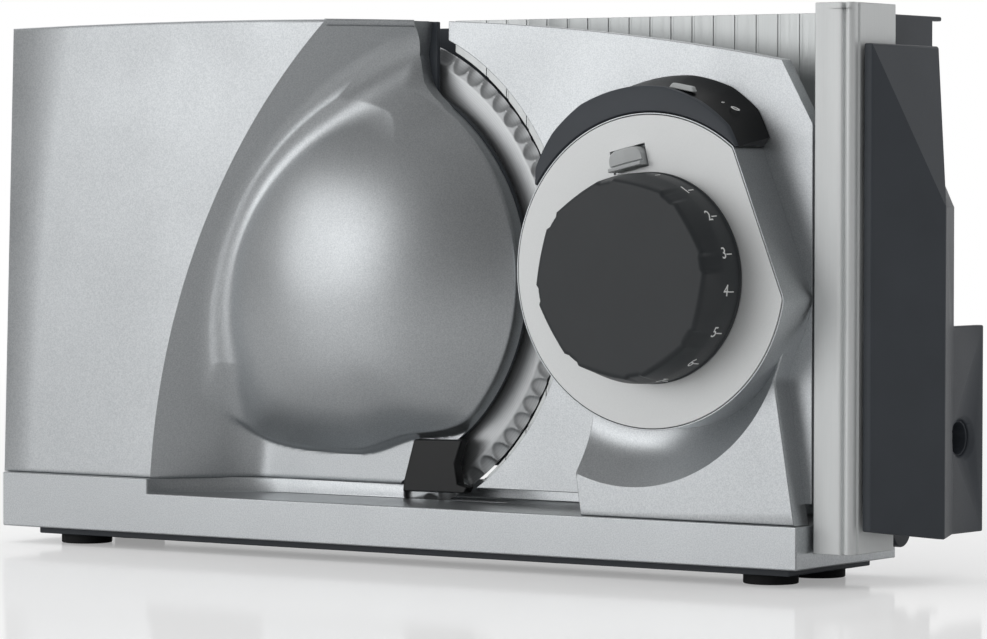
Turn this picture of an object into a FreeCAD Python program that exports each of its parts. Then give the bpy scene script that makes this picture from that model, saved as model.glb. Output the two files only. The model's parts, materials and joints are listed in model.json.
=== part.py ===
"""Electric food slicer with a fold-up carriage table, in millimetres.

The machine is seen from its motor side: +X runs along the base to the right, -Y faces the viewer and
+Z is up. Lengths are laid out from the lower front left corner of the base; every piece is then placed
so that the origin is the middle of the footprint, on the surface that the machine stands on.
"""
import FreeCAD, Part
import math
import os
import re
import Sketcher

V = FreeCAD.Vector
doc = FreeCAD.newDocument("food_slicer")
sheet = doc.addObject("Spreadsheet::Sheet", "Dims")
names = []


def size(alias, number, meaning):
    """One driving dimension: its meaning, its number and the name that the model uses."""
    names.append(alias)
    row = len(names)
    sheet.set(f"A{row}", meaning)
    sheet.set(f"B{row}", str(number))
    sheet.setAlias(f"B{row}", alias)


# The base and what the machine stands on
size("base_length", 328.0, "base, left to right")
size("base_depth", 64.0, "base, front to back")
size("tray_top", 14.0, "tray surface over the base's lower edge")
size("shoulder_top", 19.2, "seam between base and motor housing")
size("shoulder_length", 65.5, "raised shoulder under the flat front")
size("crumb_wall", 6.4, "low wall along the tray's rear, which keeps crumbs from the hinge")
size("wall", 2.5, "moulded and cast walls")
size("foot_height", 3.5, "rubber feet")
size("plinth_drop", 2.5, "plinth below the base's lower edge")
size("plinth_inset", 12.0, "plinth set back from the base's ends")
size("screw_core", 1.6, "radius of a housing screw")
size("screw_head", 3.1, "radius of a screw head")
size("fit", 0.05, "radial clearance of a running fit")
size("gap", 0.3, "clearance between neighbouring mouldings")

# The blade and the drive
size("blade_radius", 85.0, "blade")
size("blade_x", 130.7, "blade axis from the left end")
size("blade_z", 90.5, "blade axis height")
size("cutting_plane", 38.0, "cutting edge behind the base front")
size("blade_gap", 2.0, "gap round the blade")
size("shaft_radius", 5.0, "blade shaft")
size("wheel_pitch", 44.0, "worm wheel pitch radius")
size("wheel_width", 6.8, "worm wheel width")
size("worm_radius", 5.0, "worm")
size("bush_radius", 9.0, "hub bush, outer")
size("motor_shaft_radius", 2.0, "motor shaft")
size("motor_width", 32.0, "flat motor, across")
size("motor_depth", 21.0, "flat motor, front to back")
size("motor_bottom", 126.0, "flat motor's lower end")
size("motor_height", 44.0, "flat motor, length of the can")

# The motor housing
size("front_plane", 2.0, "flat front of the motor housing")
size("cover_thickness", 2.0, "rear cover")
size("crown_height", 178.2, "highest point of the housing")
size("sail_radius", 239.0, "curved edge of the flat front")
size("sail_slope", 1.2, "fall of the slope beside the curved edge")
size("sail_top", 140.7, "flat front's right end at the top")
size("dome_radius", 70.0, "dome at its rim")
size("dome_front", 4.0, "dome's foremost point behind the base front")
size("dome_edge", 3.0, "rounding of the dome's rim")
size("housing_right", 167.0, "housing's right end at the top")
size("overhang", 1.3, "housing past the base at the left, the left end of the machine")

# The front panel, the dial and the stop plate
size("panel_front", 9.5, "front panel behind the base front")
size("panel_sheet", 1.2, "sheet of the front panel")
size("panel_skirt", 5.6, "turned-back edge of the front panel")
size("panel_left", 187.0, "front panel's left end at the top")
size("dial_z", 92.3, "dial axis height")
size("drum_radius", 51.0, "dial turret")
size("drum_front", -7.0, "front of the turret's drum")
size("plate_thickness", 1.5, "dial plate")
size("knob_radius", 34.0, "knob skirt")
size("knob_depth", 19.0, "knob")
size("spindle_radius", 6.0, "knob spindle")
size("tube_radius", 9.9, "thrust tube")
size("slice_travel", 18.0, "stop plate travel, thickest slice")
size("stop_bottom", 21.0, "stop plate's lower edge")
size("rib_pitch", 8.2, "from groove to groove of the stop plate")
size("switch_width", 8.3, "crescent switch, radial")

# The end profile
size("profile_width", 14.0, "end profile along the machine")
size("profile_front", 8.5, "end profile's front face")
size("profile_depth", 27.5, "end profile front to back")
size("profile_bottom", 5.0, "end profile's lower end")
size("profile_wall", 2.0, "end profile's wall")
size("bolt_height", 8.2, "end profile's bolts over the base's lower edge")

# The folding table and what it carries
size("pin_radius", 2.0, "hinge pins")
size("bed_left", 30.0, "table's left end")
size("bed_plate", 3.0, "table plate")
size("bed_bottom", 25.0, "table's lower edge, folded up")
size("lip", 6.0, "lips on the end wall")
size("sled_length", 146.0, "food carriage")
size("sled_bottom", 40.0, "food carriage's lower edge")
size("sled_height", 122.0, "food carriage")
size("rail_low", 62.0, "lower rail")
size("rail_high", 134.0, "upper rail")
size("guard_sheet", 3.0, "hand guard's wall")
size("guard_bottom", 9.0, "hand guard's lower edge")
size("guard_low_top", 76.5, "upper edge of the guard's short wing")
size("guard_crest_top", 115.0, "where the guard's fold turns")
size("guard_top", 167.0, "hand guard's upper edge")
doc.recompute()

# Places that follow from the sizes above, each written before the ones that it uses

derived = {
    "guard_crest": "end_wall_left + 29",                  # hand guard's outermost fold, the right end of the machine
    "end_wall_left": "profile_left + 2",                  # end wall of the table, inner face
    "profile_left": "base_length + 1",                    # end profile's left face
    "stop_right": "base_length - 0.5",                    # stop plate's right edge
    "sled_left": "base_length - sled_length - 7",         # food carriage's left end, parked
    "disc_x": "dial_x - 1.2",                             # dial disc's centre from the left end
    "disc_z": "dial_z + 2",                               # dial disc's centre height
    "dial_x": "base_length - 49",                         # dial axis from the left end
    "profile_top": "crown_height + 1.8",                  # end profile's upper end, the highest point
    "bed_top": "crown_height - 2.2",                      # table's upper edge, folded up
    "stop_top": "crown_height - 0.5",                     # stop plate's upper edge
    "crown_left": "crown_height - 1.3",                   # height at the left end
    "cut_radius": "blade_radius + 1.4",                   # round cut-out of the front panel
    "cut_z": "blade_z + 1.7",                             # cut-out centre height
    "cut_x": "blade_x + 19.1",                            # cut-out centre from the left end
    "dome_x": "blade_x + 3.3",                            # dome centre from the left end
    "dome_z": "blade_z + 0.5",                            # dome centre height
    "sled_front": "bed_front - 8",                        # food carriage, front of its plate
    "end_wall_front": "bed_front - 7",                    # end wall of the table, front edge
    "end_wall_rear": "bed_rear + 6.8",                    # end wall of the table, rear edge
    "bed_rear": "bed_front + 14",                         # table's rim, folded up
    "bed_front": "hinge_y - 4",                           # table's sliding face, folded up
    "hinge_y": "base_depth - 4",                          # table hinge behind the base front
    "hinge_z": "tray_top + 4",                            # table hinge height
    "stop_front": "stop_back - 3",                        # ribs of the stop plate behind the base front
    "stop_back": "cutting_plane + 0.2",                   # food side of the stop plate
    "wheel_front": "cover_front - 14.4",                  # worm wheel's front face
    "cover_front": "blade_front - 4",                     # front of the housing's rear cover
    "blade_front": "cutting_plane - 2.5",                 # blade's front face behind the base front
    "knob_face": "knob_radius - 3",                       # knob at its front edge
}
known = {}


def spelled(text):
    """A formula with each derived place written out in the sheet's own names."""
    for name, formula in derived.items():
        text = re.sub(rf"\b{name}\b", f"({formula})", text)
    return text


def number(text):
    """The number that a formula over these names comes to."""
    if text not in known:
        sheet.set("D1", "=" + spelled(text))
        sheet.recompute()
        known[text] = float(sheet.get("D1"))
    return known[text]


def bind(thing, target, text):
    """Binds a property to a formula over these names."""
    named = re.sub(r"\b(?!sqrt\b|cos\b|sin\b|atan\b)([a-z]\w*)", r"Dims.\1", spelled(text))
    thing.setExpression(target, named)


# Sketches and solids


def body(label):
    made = doc.addObject("PartDesign::Body", label)
    made.Label = label
    return made


def new_sketch(holder, lift):
    sketch = holder.newObject("Sketcher::SketchObject", holder.Label + "_sketch")
    plane = next(part for part in holder.Origin.OriginFeatures if part.Role == "XY_Plane")
    sketch.AttachmentSupport = (plane, [""])
    sketch.MapMode = "FlatFace"
    bind(sketch, "AttachmentOffset.Base.z", lift)
    return sketch


def fix_point(sketch, element, end, x, y):
    """Ties one end of a sketch element to a place given by two formulas."""
    for kind, text in (("DistanceX", x), ("DistanceY", y)):
        index = sketch.addConstraint(Sketcher.Constraint(kind, -1, 1, element, end, number(text)))
        bind(sketch, f"Constraints[{index}]", text)


def arc_between(start, end, radius):
    """The shorter arc from start to end; a negative radius turns clockwise."""
    middle = (start + end) * 0.5
    half = (end - start) * 0.5
    side = V(-half.y, half.x, 0).normalize()
    centre = middle + side * math.copysign(math.sqrt(radius ** 2 - half.Length ** 2), radius)
    circle = Part.Circle(centre, V(0, 0, 1), abs(radius))
    first, last = (start, end) if radius > 0 else (end, start)
    return Part.ArcOfCircle(circle, circle.parameter(first), circle.parameter(last))


def outline(holder, lift, points):
    """A closed outline. Each point is (x, y), or (x, y, radius) when an arc leads to it."""
    sketch = new_sketch(holder, lift)
    places = [V(number(point[0]), number(point[1]), 0) for point in points]
    ends = []
    for index, point in enumerate(points):
        start, end = places[index - 1], places[index]
        if len(point) == 2:
            element = sketch.addGeometry(Part.LineSegment(start, end))
            ends.append((element, 1, 2))
            continue
        radius = number(point[2])
        element = sketch.addGeometry(arc_between(start, end, radius))
        ends.append((element, 1, 2) if radius > 0 else (element, 2, 1))
        index = sketch.addConstraint(Sketcher.Constraint("Radius", element, abs(radius)))
        bind(sketch, f"Constraints[{index}]", point[2] if radius > 0 else f"-({point[2]})")
    for index, point in enumerate(points):
        element, _, last = ends[index]
        after, first, _ = ends[(index + 1) % len(points)]
        fix_point(sketch, element, last, point[0], point[1])
        sketch.addConstraint(Sketcher.Constraint("Coincident", element, last, after, first))
    return sketch


def ring(holder, lift, x, y, radius):
    """A circle sketched about a place given by two formulas."""
    sketch = new_sketch(holder, lift)
    circle = Part.Circle(V(number(x), number(y), 0), V(0, 0, 1), number(radius))
    element = sketch.addGeometry(circle)
    fix_point(sketch, element, 3, x, y)
    index = sketch.addConstraint(Sketcher.Constraint("Radius", element, number(radius)))
    bind(sketch, f"Constraints[{index}]", radius)
    return sketch


def pad(holder, sketch, length):
    feature = holder.newObject("PartDesign::Pad", holder.Label + "_pad")
    feature.Profile = sketch
    bind(feature, "Length", length)
    return feature


def pocket(holder, sketch, depth):
    feature = holder.newObject("PartDesign::Pocket", holder.Label + "_pocket")
    feature.Profile = sketch
    bind(feature, "Length", depth)
    return feature


def add(holder, points, low, high):
    return pad(holder, outline(holder, low, points), f"({high}) - ({low})")


def add_round(holder, x, y, radius, low, high):
    return pad(holder, ring(holder, low, x, y, radius), f"({high}) - ({low})")


def cut(holder, points, low, high):
    return pocket(holder, outline(holder, high, points), f"({high}) - ({low})")


def cut_round(holder, x, y, radius, low, high):
    return pocket(holder, ring(holder, high, x, y, radius), f"({high}) - ({low})")


def box(left, right, low, high):
    """The four corners of a rectangle."""
    return [(left, low), (right, low), (right, high), (left, high)]


turns = {
    "up": FreeCAD.Rotation(),
    "back": FreeCAD.Rotation(V(1, 0, 0), -90),
    "right": FreeCAD.Rotation(V(0, 1, 0), 90),
}


def rod(radius, length, x, y, z, way="back"):
    """A plain round bar that starts at a place and runs up, to the back or to the right."""
    made = doc.addObject("Part::Cylinder", "rod")
    bind(made, "Radius", radius)
    bind(made, "Height", length)
    made.Placement = FreeCAD.Placement(V(), turns[way])
    for axis, text in zip("xyz", (x, y, z)):
        bind(made, f"Placement.Base.{axis}", text)
    return made


def block(left, right, front, back, low, high):
    """A plain box between six planes."""
    made = doc.addObject("Part::Box", "block")
    for side, first, last in (("Length", left, right), ("Width", front, back), ("Height", low, high)):
        bind(made, side, f"({last}) - ({first})")
    for axis, text in zip("xyz", (left, front, low)):
        bind(made, f"Placement.Base.{axis}", text)
    return made


def fused(*pieces):
    made = doc.addObject("Part::MultiFuse", "fused")
    made.Shapes = list(pieces)
    return made


def less(base, tool):
    made = doc.addObject("Part::Cut", "less")
    made.Base = base
    made.Tool = tool
    return made


def group(label, *pieces):
    """One node: a single piece, or like pieces that stay separate solids."""
    made = doc.addObject("Part::Compound", label)
    made.Label = label
    made.Links = list(pieces)
    return place(made)


nodes = []


def place(made, front=False, at=("0", "0", "0")):
    """Moves a finished piece into the machine's frame. A piece drawn as seen from the front is
    stood up first, so that its sketch plane becomes the front view and its height points to -Y."""
    rotation = FreeCAD.Rotation(V(1, 0, 0), 90) if front else FreeCAD.Rotation()
    made.Placement = FreeCAD.Placement(V(), rotation)
    knob_front = "(drum_front - plate_thickness - 0.5 - knob_depth)"
    bind(made, "Placement.Base.x", f"{at[0]} - (guard_crest - overhang) / 2")
    bind(made, "Placement.Base.y", f"{at[1]} - (end_wall_rear + lip + {knob_front}) / 2")
    bind(made, "Placement.Base.z", f"{at[2]} + plinth_drop + foot_height")
    nodes.append(made)
    return made


# The base


def base_housing():
    made = body("base_moulding")
    add(made, box("0", "base_length", "0", "base_depth"), "0", "tray_top")
    add(made, [("0", "0"), ("shoulder_length", "0"), ("101", "31", "-48"), ("152", "33.5"),
               ("152", "34.3"), ("72", "34.3"), ("72", "42"), ("0", "42")],
        "tray_top", "shoulder_top")
    add(made, box("0", "base_length", "bed_front - 6", "bed_front - 3.5"),
        "tray_top", "tray_top + crumb_wall")
    for left in hinge_lugs:
        add(made, box(left, f"{left} + 11.5", "hinge_y - 3.5", "hinge_y + 3.5"),
            "tray_top", "hinge_z + 3.5")
    cut(made, box("wall", "base_length - wall", "wall", "base_depth - wall"), "0", "tray_top - wall")
    cut(made, box("wall", "60", "wall", "42 - wall"), "tray_top - wall", "shoulder_top - wall")
    for x in screw_columns:
        for y in screw_rows:
            raised = (x, y) == (screw_columns[0], screw_rows[0])
            roof = "shoulder_top - wall" if raised else "tray_top - wall"
            add_round(made, x, y, "2.5 * screw_core", "plinth_drop + gap", roof)
            cut_round(made, x, y, "screw_core + 0.1", "0", "tray_top - wall - 1")
    cut(made, box("blade_x - 62", "blade_x + 62", "blade_front - 0.9", "cutting_plane + 1.6"),
        "0", "tray_top + 10")
    for x in foot_bolts:
        cut_round(made, x, "5.7", "screw_core + 0.2", "tray_top - wall", "tray_top")
    for x in slide_columns:
        cut(made, box(f"{x} - 3.5", f"{x} + 3.5", "stop_front - slice_travel - 1", "stop_back + 1"),
            "tray_top - wall", "tray_top")
    return made


screw_columns = ("45", "base_length - 93")
screw_rows = ("9.5", "base_depth - 9.5")
hinge_lugs = ("60", "base_length - 68")
slide_columns = ("dial_x - 17", "dial_x + 27")
profile_bolts = ("profile_front + 9.5", "profile_front + 19.5")


def hinge_bores(base):
    """Bores the table's hinge lugs, the inlet and the end bolts' holes, which run along X and Y."""
    tools = [rod("pin_radius", "40", f"{left} - 5", "hinge_y", "hinge_z", "right") for left in hinge_lugs]
    tools = [*tools, rod("4.5", "2 * wall", "14", "base_depth - 1.5 * wall", "7")]
    for y in profile_bolts:
        tools.append(rod("screw_core + 0.1", "3 * wall", "base_length - 2 * wall", y, "bolt_height", "right"))
    made = less(base, fused(*tools))
    made.Label = "base_housing"
    return place(made)


def base_pan():
    made = body("base_pan")
    inset = "(wall + gap)"
    add(made, box(inset, f"base_length - {inset}", inset, f"base_depth - {inset}"), "0", "2")
    add(made, box("plinth_inset", "base_length - plinth_inset / 2", "plinth_inset / 2",
                  "base_depth - plinth_inset / 2"), "0 - plinth_drop", "0")
    for x in screw_columns:
        for y in screw_rows:
            cut_round(made, x, y, "screw_head + 0.2", "0 - plinth_drop", "0")
            cut_round(made, x, y, "screw_core + 0.2", "0", "2")
    return place(made)


def bottom_screws():
    pieces = []
    for x in screw_columns:
        for y in screw_rows:
            head = rod("screw_head", "2", x, y, "-2", "up")
            core = rod("screw_core", "9", x, y, "0", "up")
            pieces.append(fused(head, core))
    return group("base_screws", *pieces)


def feet():
    pieces = [rod("9", "foot_height", x, y, "0 - plinth_drop - foot_height", "up")
              for x in ("plinth_inset + 12", "base_length - 20") for y in ("18", "base_depth - 16")]
    return group("base_feet", *pieces)


# The motor housing: outlines in the front view, x to the right and z up


def front_arc(start, middle, end):
    """An arc in the front view through three places."""
    return Part.Arc(*[V(x, 0, z) for x, z in (start, middle, end)]).toShape()


def front_solid(edges, front, back):
    """A prism with a front view outline, from one depth to another."""
    face = Part.Face(Part.Wire(edges))
    face.translate(V(0, front, 0))
    return face.extrude(V(0, back - front, 0))


def front_line(start, end):
    return Part.makeLine(V(start[0], 0, start[1]), V(end[0], 0, end[1]))


def crown(x):
    """Height of the machine's crowned top edge."""
    top = number("crown_height")
    peak = 95.0
    drop = top - number("crown_left")
    return top - drop * ((x - peak) / (peak - 3.3)) ** 2


def crowned(front, back, inset):
    """The whole housing's outline in the front view: leaning left end and crowned top."""
    floor = number("shoulder_top") + inset
    left = inset - number("overhang")
    right = number("housing_right") - inset
    top_left = (3.3 + inset, crown(3.3) - inset)
    top_right = (right, crown(right) - inset)
    edges = [front_line((left, floor), (right, floor)), front_line((right, floor), top_right),
             front_arc(top_right, (72, crown(72) - inset), top_left), front_line(top_left, (left, floor))]
    return front_solid(edges, front, back)


def sail(front, back, inset):
    """The flat front and the slope beside its curved edge, which falls away over a wide hollow cone.
    The cone's axis runs front to back, far to the lower right."""
    foot = V(number("shoulder_length"), 0, number("shoulder_top"))
    half = (V(number("sail_top"), 0, number("crown_height")) - foot) * 0.5
    reach = number("sail_radius")
    side = V(half.z, 0, -half.x).normalize()
    centre = foot + half + side * math.sqrt(reach ** 2 - half.Length ** 2)
    slope = number("sail_slope")
    start = number("front_plane") - 1
    wide = reach + 1 / slope + inset * math.sqrt(1 + 1 / slope ** 2)
    hollow = Part.makeCone(wide, wide - 40 / slope, 40, V(centre.x, start, centre.z), V(0, 1, 0))
    return crowned(front, back, inset).cut(hollow)


def flange(front, back):
    """The thin floor round the dome, below it and at its upper right."""
    floor = number("shoulder_top")
    low = Part.makeBox(72, back - front, 40, V(80, front, floor))
    high = Part.makeBox(60, back - front, 60, V(120, front, 146))
    return low.fuse(high).common(crowned(front, back, 0))


def dome(inset):
    """A shallow ball cap whose rim turns back in a smaller arc, spun about the dome's axis."""
    rim = number("dome_radius")
    edge = number("dome_edge")
    apex = number("dome_front")
    back = number("cover_front")
    ball = ((rim - edge) ** 2 + (back - 3.5 - apex) ** 2 - edge ** 2) / (2 * (back - 3.5 - apex - edge))
    centre = V(rim - edge, back - 3.5, 0)
    ball_centre = V(0, apex + ball, 0)
    touch = ball_centre + (centre - ball_centre).normalize() * ball
    radius = ball - inset
    start = ball_centre + (touch - ball_centre).normalize() * radius
    top = V(0, apex + inset, 0)
    half = math.asin(start.x / radius) / 2
    side = V(radius * math.sin(half), ball_centre.y - radius * math.cos(half), 0)
    turn = (math.atan2(start.y - centre.y, start.x - centre.x)) / 2
    reach = edge - inset
    bend = centre + V(reach * math.cos(turn), reach * math.sin(turn), 0)
    outer = V(rim - inset, centre.y, 0)
    wire = Part.Wire([Part.Arc(top, side, start).toShape(), Part.Arc(start, bend, outer).toShape(),
                      Part.makeLine(outer, V(outer.x, back, 0)),
                      Part.makeLine(V(outer.x, back, 0), V(0, back, 0)),
                      Part.makeLine(V(0, back, 0), top)])
    spun = Part.Face(wire).revolve(V(), V(0, 1, 0), 360)
    spun.translate(V(number("dome_x"), 0, number("dome_z")))
    return spun


def clip_space(slack):
    """The room that the slice deflector takes out of the dome's foot."""
    return Part.makeBox(34 + 2 * slack, 12, 25 + slack, V(153 - slack, 26 - slack, 10.5))


housing_bolts = ((12, 32), (56, 32), (12, 166), (45, 168))


def motor_housing():
    back = number("cover_front")
    wall = number("wall")
    front = number("front_plane")
    outer = sail(front, back, 0).fuse([flange(back - wall, back), dome(0)])
    shell = outer.cut(sail(front + wall, back, wall).fuse(dome(wall)))
    for x, z in housing_bolts:
        boss = Part.makeCylinder(4, back - front - wall / 2, V(x, front + wall / 2, z), V(0, 1, 0))
        hole = Part.makeCylinder(number("screw_core") + 0.1, 20, V(x, back - 20, z), V(0, 1, 0))
        shell = shell.fuse(boss).cut(hole)
    made = doc.addObject("Part::Feature", "motor_housing")
    made.Shape = shell.cut(clip_space(number("gap"))).removeSplitter()
    return place(made)


def housing_cover():
    """The flat rear cover, the same outline as the housing."""
    back = number("cover_front")
    rear = back + number("cover_thickness")
    rim = Part.makeCylinder(number("dome_radius"), number("cover_thickness"),
                            V(number("dome_x"), back, number("dome_z")), V(0, 1, 0))
    plate = sail(back, rear, 0).fuse([flange(back, rear), rim]).cut(clip_space(number("gap")))
    hole = Part.makeCylinder(number("bush_radius"), 40,
                             V(number("blade_x"), 10, number("blade_z")), V(0, 1, 0))
    plate = plate.cut(hole)
    for x, z in housing_bolts:
        hole = Part.makeCylinder(number("screw_core") + 0.2, 20, V(x, back - 5, z), V(0, 1, 0))
        plate = plate.cut(hole)
    made = doc.addObject("Part::Feature", "housing_cover")
    made.Shape = plate.removeSplitter()
    return place(made)


def blade_guard():
    """Food side plate that lies round the blade's left half, flush with the cutting plane."""
    start = number("cover_front + cover_thickness")
    end = number("cutting_plane")
    floor = number("shoulder_top")
    edges = [front_line((-number("overhang"), floor), (72, floor)), front_line((72, floor), (72, 90)),
             front_line((72, 90), (105, 90)), front_line((105, 90), (105, crown(105))),
             front_arc((105, crown(105)), (50, crown(50)), (3.3, crown(3.3))),
             front_line((3.3, crown(3.3)), (-number("overhang"), floor))]
    plate = front_solid(edges, start, end)
    room = Part.makeCylinder(number("blade_radius + blade_gap"), 20,
                             V(number("blade_x"), start - 5, number("blade_z")), V(0, 1, 0))
    plate = plate.cut(room)
    for x, z in housing_bolts:
        hole = Part.makeCylinder(number("screw_core") + 0.2, 20, V(x, start - 5, z), V(0, 1, 0))
        sink = Part.makeCylinder(number("screw_head") + 0.2, 2, V(x, end - 2, z), V(0, 1, 0))
        plate = plate.cut([hole, sink])
    made = doc.addObject("Part::Feature", "blade_guard")
    made.Shape = plate
    return place(made)


def housing_screws():
    pieces = []
    for x, z in housing_bolts:
        head = rod("screw_head", "2", str(x), "cutting_plane - 2", str(z))
        core = rod("screw_core", "22", str(x), "cutting_plane - 24", str(z))
        pieces.append(fused(head, core))
    return group("housing_screws", *pieces)


# The drive


worm_x = "blade_x - wheel_pitch - worm_radius"
drive_y = "wheel_front + wheel_width / 2"


def blade():
    """The blade is a shallow dish with a bevelled rim. Half-moon hollows are ground into the bevel."""
    radius = number("blade_radius")
    front = number("blade_front")
    back = number("cutting_plane")
    sheet_metal = 1.1
    profile = [V(radius, back, 0), V(radius - 9, back - 1.3, 0), V(30, back - 1.5, 0), V(26, back, 0),
               V(0, back, 0), V(0, front - 0.7, 0), V(26, front - 0.7, 0), V(30, back - 2.5, 0),
               V(radius - 9, back - 1.3 - sheet_metal, 0), V(radius, back - 0.3, 0),
               V(radius, back, 0)]
    disc = Part.Face(Part.makePolygon(profile)).revolve(V(), V(0, 1, 0), 360)
    disc = disc.cut(Part.makeCylinder(number("shaft_radius"), 20, V(0, front - 5, 0), V(0, 1, 0)))
    hollows = []
    count = 76
    for index in range(count):
        tool = Part.makeCylinder(2.7, 8, V(radius - 4.2, back - 4.2, 0), V(0.86, 0.5, 0))
        tool.rotate(V(), V(0, 1, 0), 360 * index / count)
        hollows.append(tool)
    disc = disc.cut(Part.makeCompound(hollows))
    disc.translate(V(number("blade_x"), 0, number("blade_z")))
    made = doc.addObject("Part::Feature", "blade")
    made.Shape = Part.makeCompound([disc])
    return place(made)


def worm_wheel():
    """Built about its own axis: rim, rear hub, bore and one tooth gap that is repeated."""
    made = body("worm_wheel")
    back = "0 - wheel_width"
    add_round(made, "0", "0", "wheel_pitch + 0.8", back, "0")
    add_round(made, "0", "0", "12", f"{back} - 1.2", back)
    cut_round(made, "0", "0", "shaft_radius", f"{back} - 2", "0")
    gap = cut(made, box("wheel_pitch - 1.2", "wheel_pitch + 2", "0 - 1.5", "1.5"), back, "0")
    repeat_round(made, gap, 50)
    return place(made, front=True, at=("blade_x", "wheel_front", "blade_z"))


def repeat_round(holder, feature, count):
    """Repeats a feature round the body's own upright axis."""
    doc.recompute()
    axis = next(part for part in holder.Origin.OriginFeatures if part.Role == "Z_Axis")
    pattern = holder.newObject("PartDesign::PolarPattern", holder.Label + "_pattern")
    pattern.Originals = [feature]
    pattern.Axis = (axis, [""])
    pattern.Angle = 360
    pattern.Occurrences = count
    holder.Tip = pattern


def blade_shaft():
    bar = rod("shaft_radius", "cutting_plane - 14.2", "blade_x", "14", "blade_z")
    collar = rod("14", "0.75", "blade_x", "blade_front - 1.45", "blade_z")
    return group("blade_shaft", fused(bar, collar))


def blade_fastener():
    """Flat cap on the food side, with a slot for a coin; a quarter turn frees the blade."""
    made = body("blade_fastener")
    add_round(made, "0", "0", "22", "0 - 1.6", "0")
    cut(made, box("0 - 14", "14", "0 - 1.2", "1.2"), "0 - 1.6", "0 - 0.8")
    return place(made, front=True, at=("blade_x", "cutting_plane + 0.1", "blade_z"))


def hub_bush():
    outer = rod("bush_radius", "7.8", "blade_x", "26", "blade_z")
    bore = rod("shaft_radius + fit", "12", "blade_x", "24", "blade_z")
    return group("hub_bush", less(outer, bore))


def gearbox_plate():
    """Plate on the housing's cover that holds the hub bush, the worm's lower bush and the motor."""
    plate = block(f"{worm_x} - 13.7", "blade_x + 29.3", "cover_front - 4", "cover_front",
                  "blade_z - 26.5", "blade_z + 25.5")
    shelf = block(f"{worm_x} - 13.7", f"{worm_x} + 10.3", f"{drive_y} - 9", "cover_front",
                  "motor_bottom - 3", "motor_bottom")
    arm = block(f"{worm_x} - 4", f"{worm_x} + 4", drive_y, "cover_front - 3", "71", "76")
    eye = rod("4", "5", worm_x, drive_y, "71", "up")
    solid = fused(plate, shelf, arm, eye)
    bores = fused(rod("bush_radius", "20", "blade_x", "15", "blade_z"),
                  rod("3.2", "8", worm_x, drive_y, "69", "up"),
                  rod("6.2", "8", worm_x, drive_y, "motor_bottom - 5", "up"))
    return group("gearbox_plate", less(solid, bores))


def worm_bush():
    tube = rod("3.2", "5", worm_x, drive_y, "71", "up")
    bore = rod("motor_shaft_radius + fit", "8", worm_x, drive_y, "69", "up")
    return group("worm_bush", less(tube, bore))


def worm_shaft():
    bar = rod("motor_shaft_radius", "motor_bottom - 62", worm_x, drive_y, "70", "up")
    worm = rod("worm_radius - 1.2", "24", worm_x, drive_y, "blade_z - 12", "up")
    return group("worm_shaft", fused(bar, worm))


def motor():
    """Flat can motor with its lower bearing boss, rear cap and bore for the shaft."""
    made = body("motor")
    add(made, box("0 - motor_width / 2", "motor_width / 2", "0 - motor_depth / 2", "motor_depth / 2"),
        "0", "motor_height")
    doc.recompute()
    uprights = [f"Edge{index + 1}" for index, edge in enumerate(made.Shape.Edges)
                if abs(edge.tangentAt(edge.FirstParameter).z) > 0.99]
    can = made.Tip
    rounding = made.newObject("PartDesign::Fillet", "motor_rounding")
    rounding.Base = (can, uprights)
    bind(rounding, "Radius", "motor_depth / 2 - 3")
    made.Tip = rounding
    doc.recompute()
    add_round(made, "0", "0", "6.2", "0 - 3", "0")
    add_round(made, "0", "0", "5", "motor_height", "motor_height + 3")
    cut_round(made, "0", "0", "motor_shaft_radius + fit", "0 - 3", "10")
    return place(made, at=(worm_x, drive_y, "motor_bottom"))


def circuit_board():
    return group("circuit_board", block("18", "50", "25", "26.6", "55", "110"))


def board_standoffs():
    pieces = [rod("2.5", "cover_front - 26.6", x, "26.6", z) for x in ("22", "46") for z in ("59", "106")]
    return group("board_standoffs", *pieces)


def board_parts():
    capacitor = rod("6", "25", "28", "19", "60", "up")
    relay = block("36", "48", "15", "25", "84", "104")
    return group("board_parts", capacitor, relay)


def mains_inlet():
    flange = rod("6.5", "2", "14", "base_depth", "7")
    barrel = rod("4.5", "wall + 1", "14", "base_depth - wall - 1", "7")
    bore = rod("3", "12", "14", "base_depth - 6", "7")
    return group("mains_inlet", less(fused(flange, barrel), bore))


# The front panel, the dial turret and the stop plate


def panel_edge(inset):
    """The panel's top and right edges, from upper left to lower right, in the front view."""
    return [("panel_left", f"crown_height - 1.6 - {inset}"),
            (f"base_length - 11.5 - 0.5 * {inset}", f"crown_height - 16 - {inset}", "-7.45 * (base_length - 198.5)"),
            (f"base_length - {inset}", f"crown_height - 36.5 - 0.3 * {inset}"),
            (f"base_length - {inset}", "20.7")]


def cut_edge_x(z):
    return f"cut_x + sqrt(cut_radius * cut_radius - (cut_z - {z}) * (cut_z - {z}))"


def right_panel():
    """Sheet with a crowned top and a round cut-out; its top and right edges are turned back."""
    made = body("right_panel")
    front = "0 - panel_front"
    back = "0 - panel_front - panel_skirt"
    head = "(cut_z + 0.903 * cut_radius)"
    shape = panel_edge("0") + [(cut_edge_x("20.7"), "20.7"), (cut_edge_x(head), head, "cut_radius")]
    add(made, shape, back, front)
    room = panel_edge("panel_sheet") + [("panel_left - 9", "10")]
    room[3] = (room[3][0], "10")
    room[0] = ("panel_left - 9", "crown_height - 2.6")
    room[1] = room[1][:2] + ("-8.5 * (base_length - 198.5)",)
    cut(made, room, back, f"{front} - panel_sheet")
    cut_round(made, "disc_x", "disc_z", "drum_radius - 8", back, front)
    for x, z in turret_bolts:
        cut_round(made, x, z, "screw_core + 0.2", back, front)
    return place(made, front=True)


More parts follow.
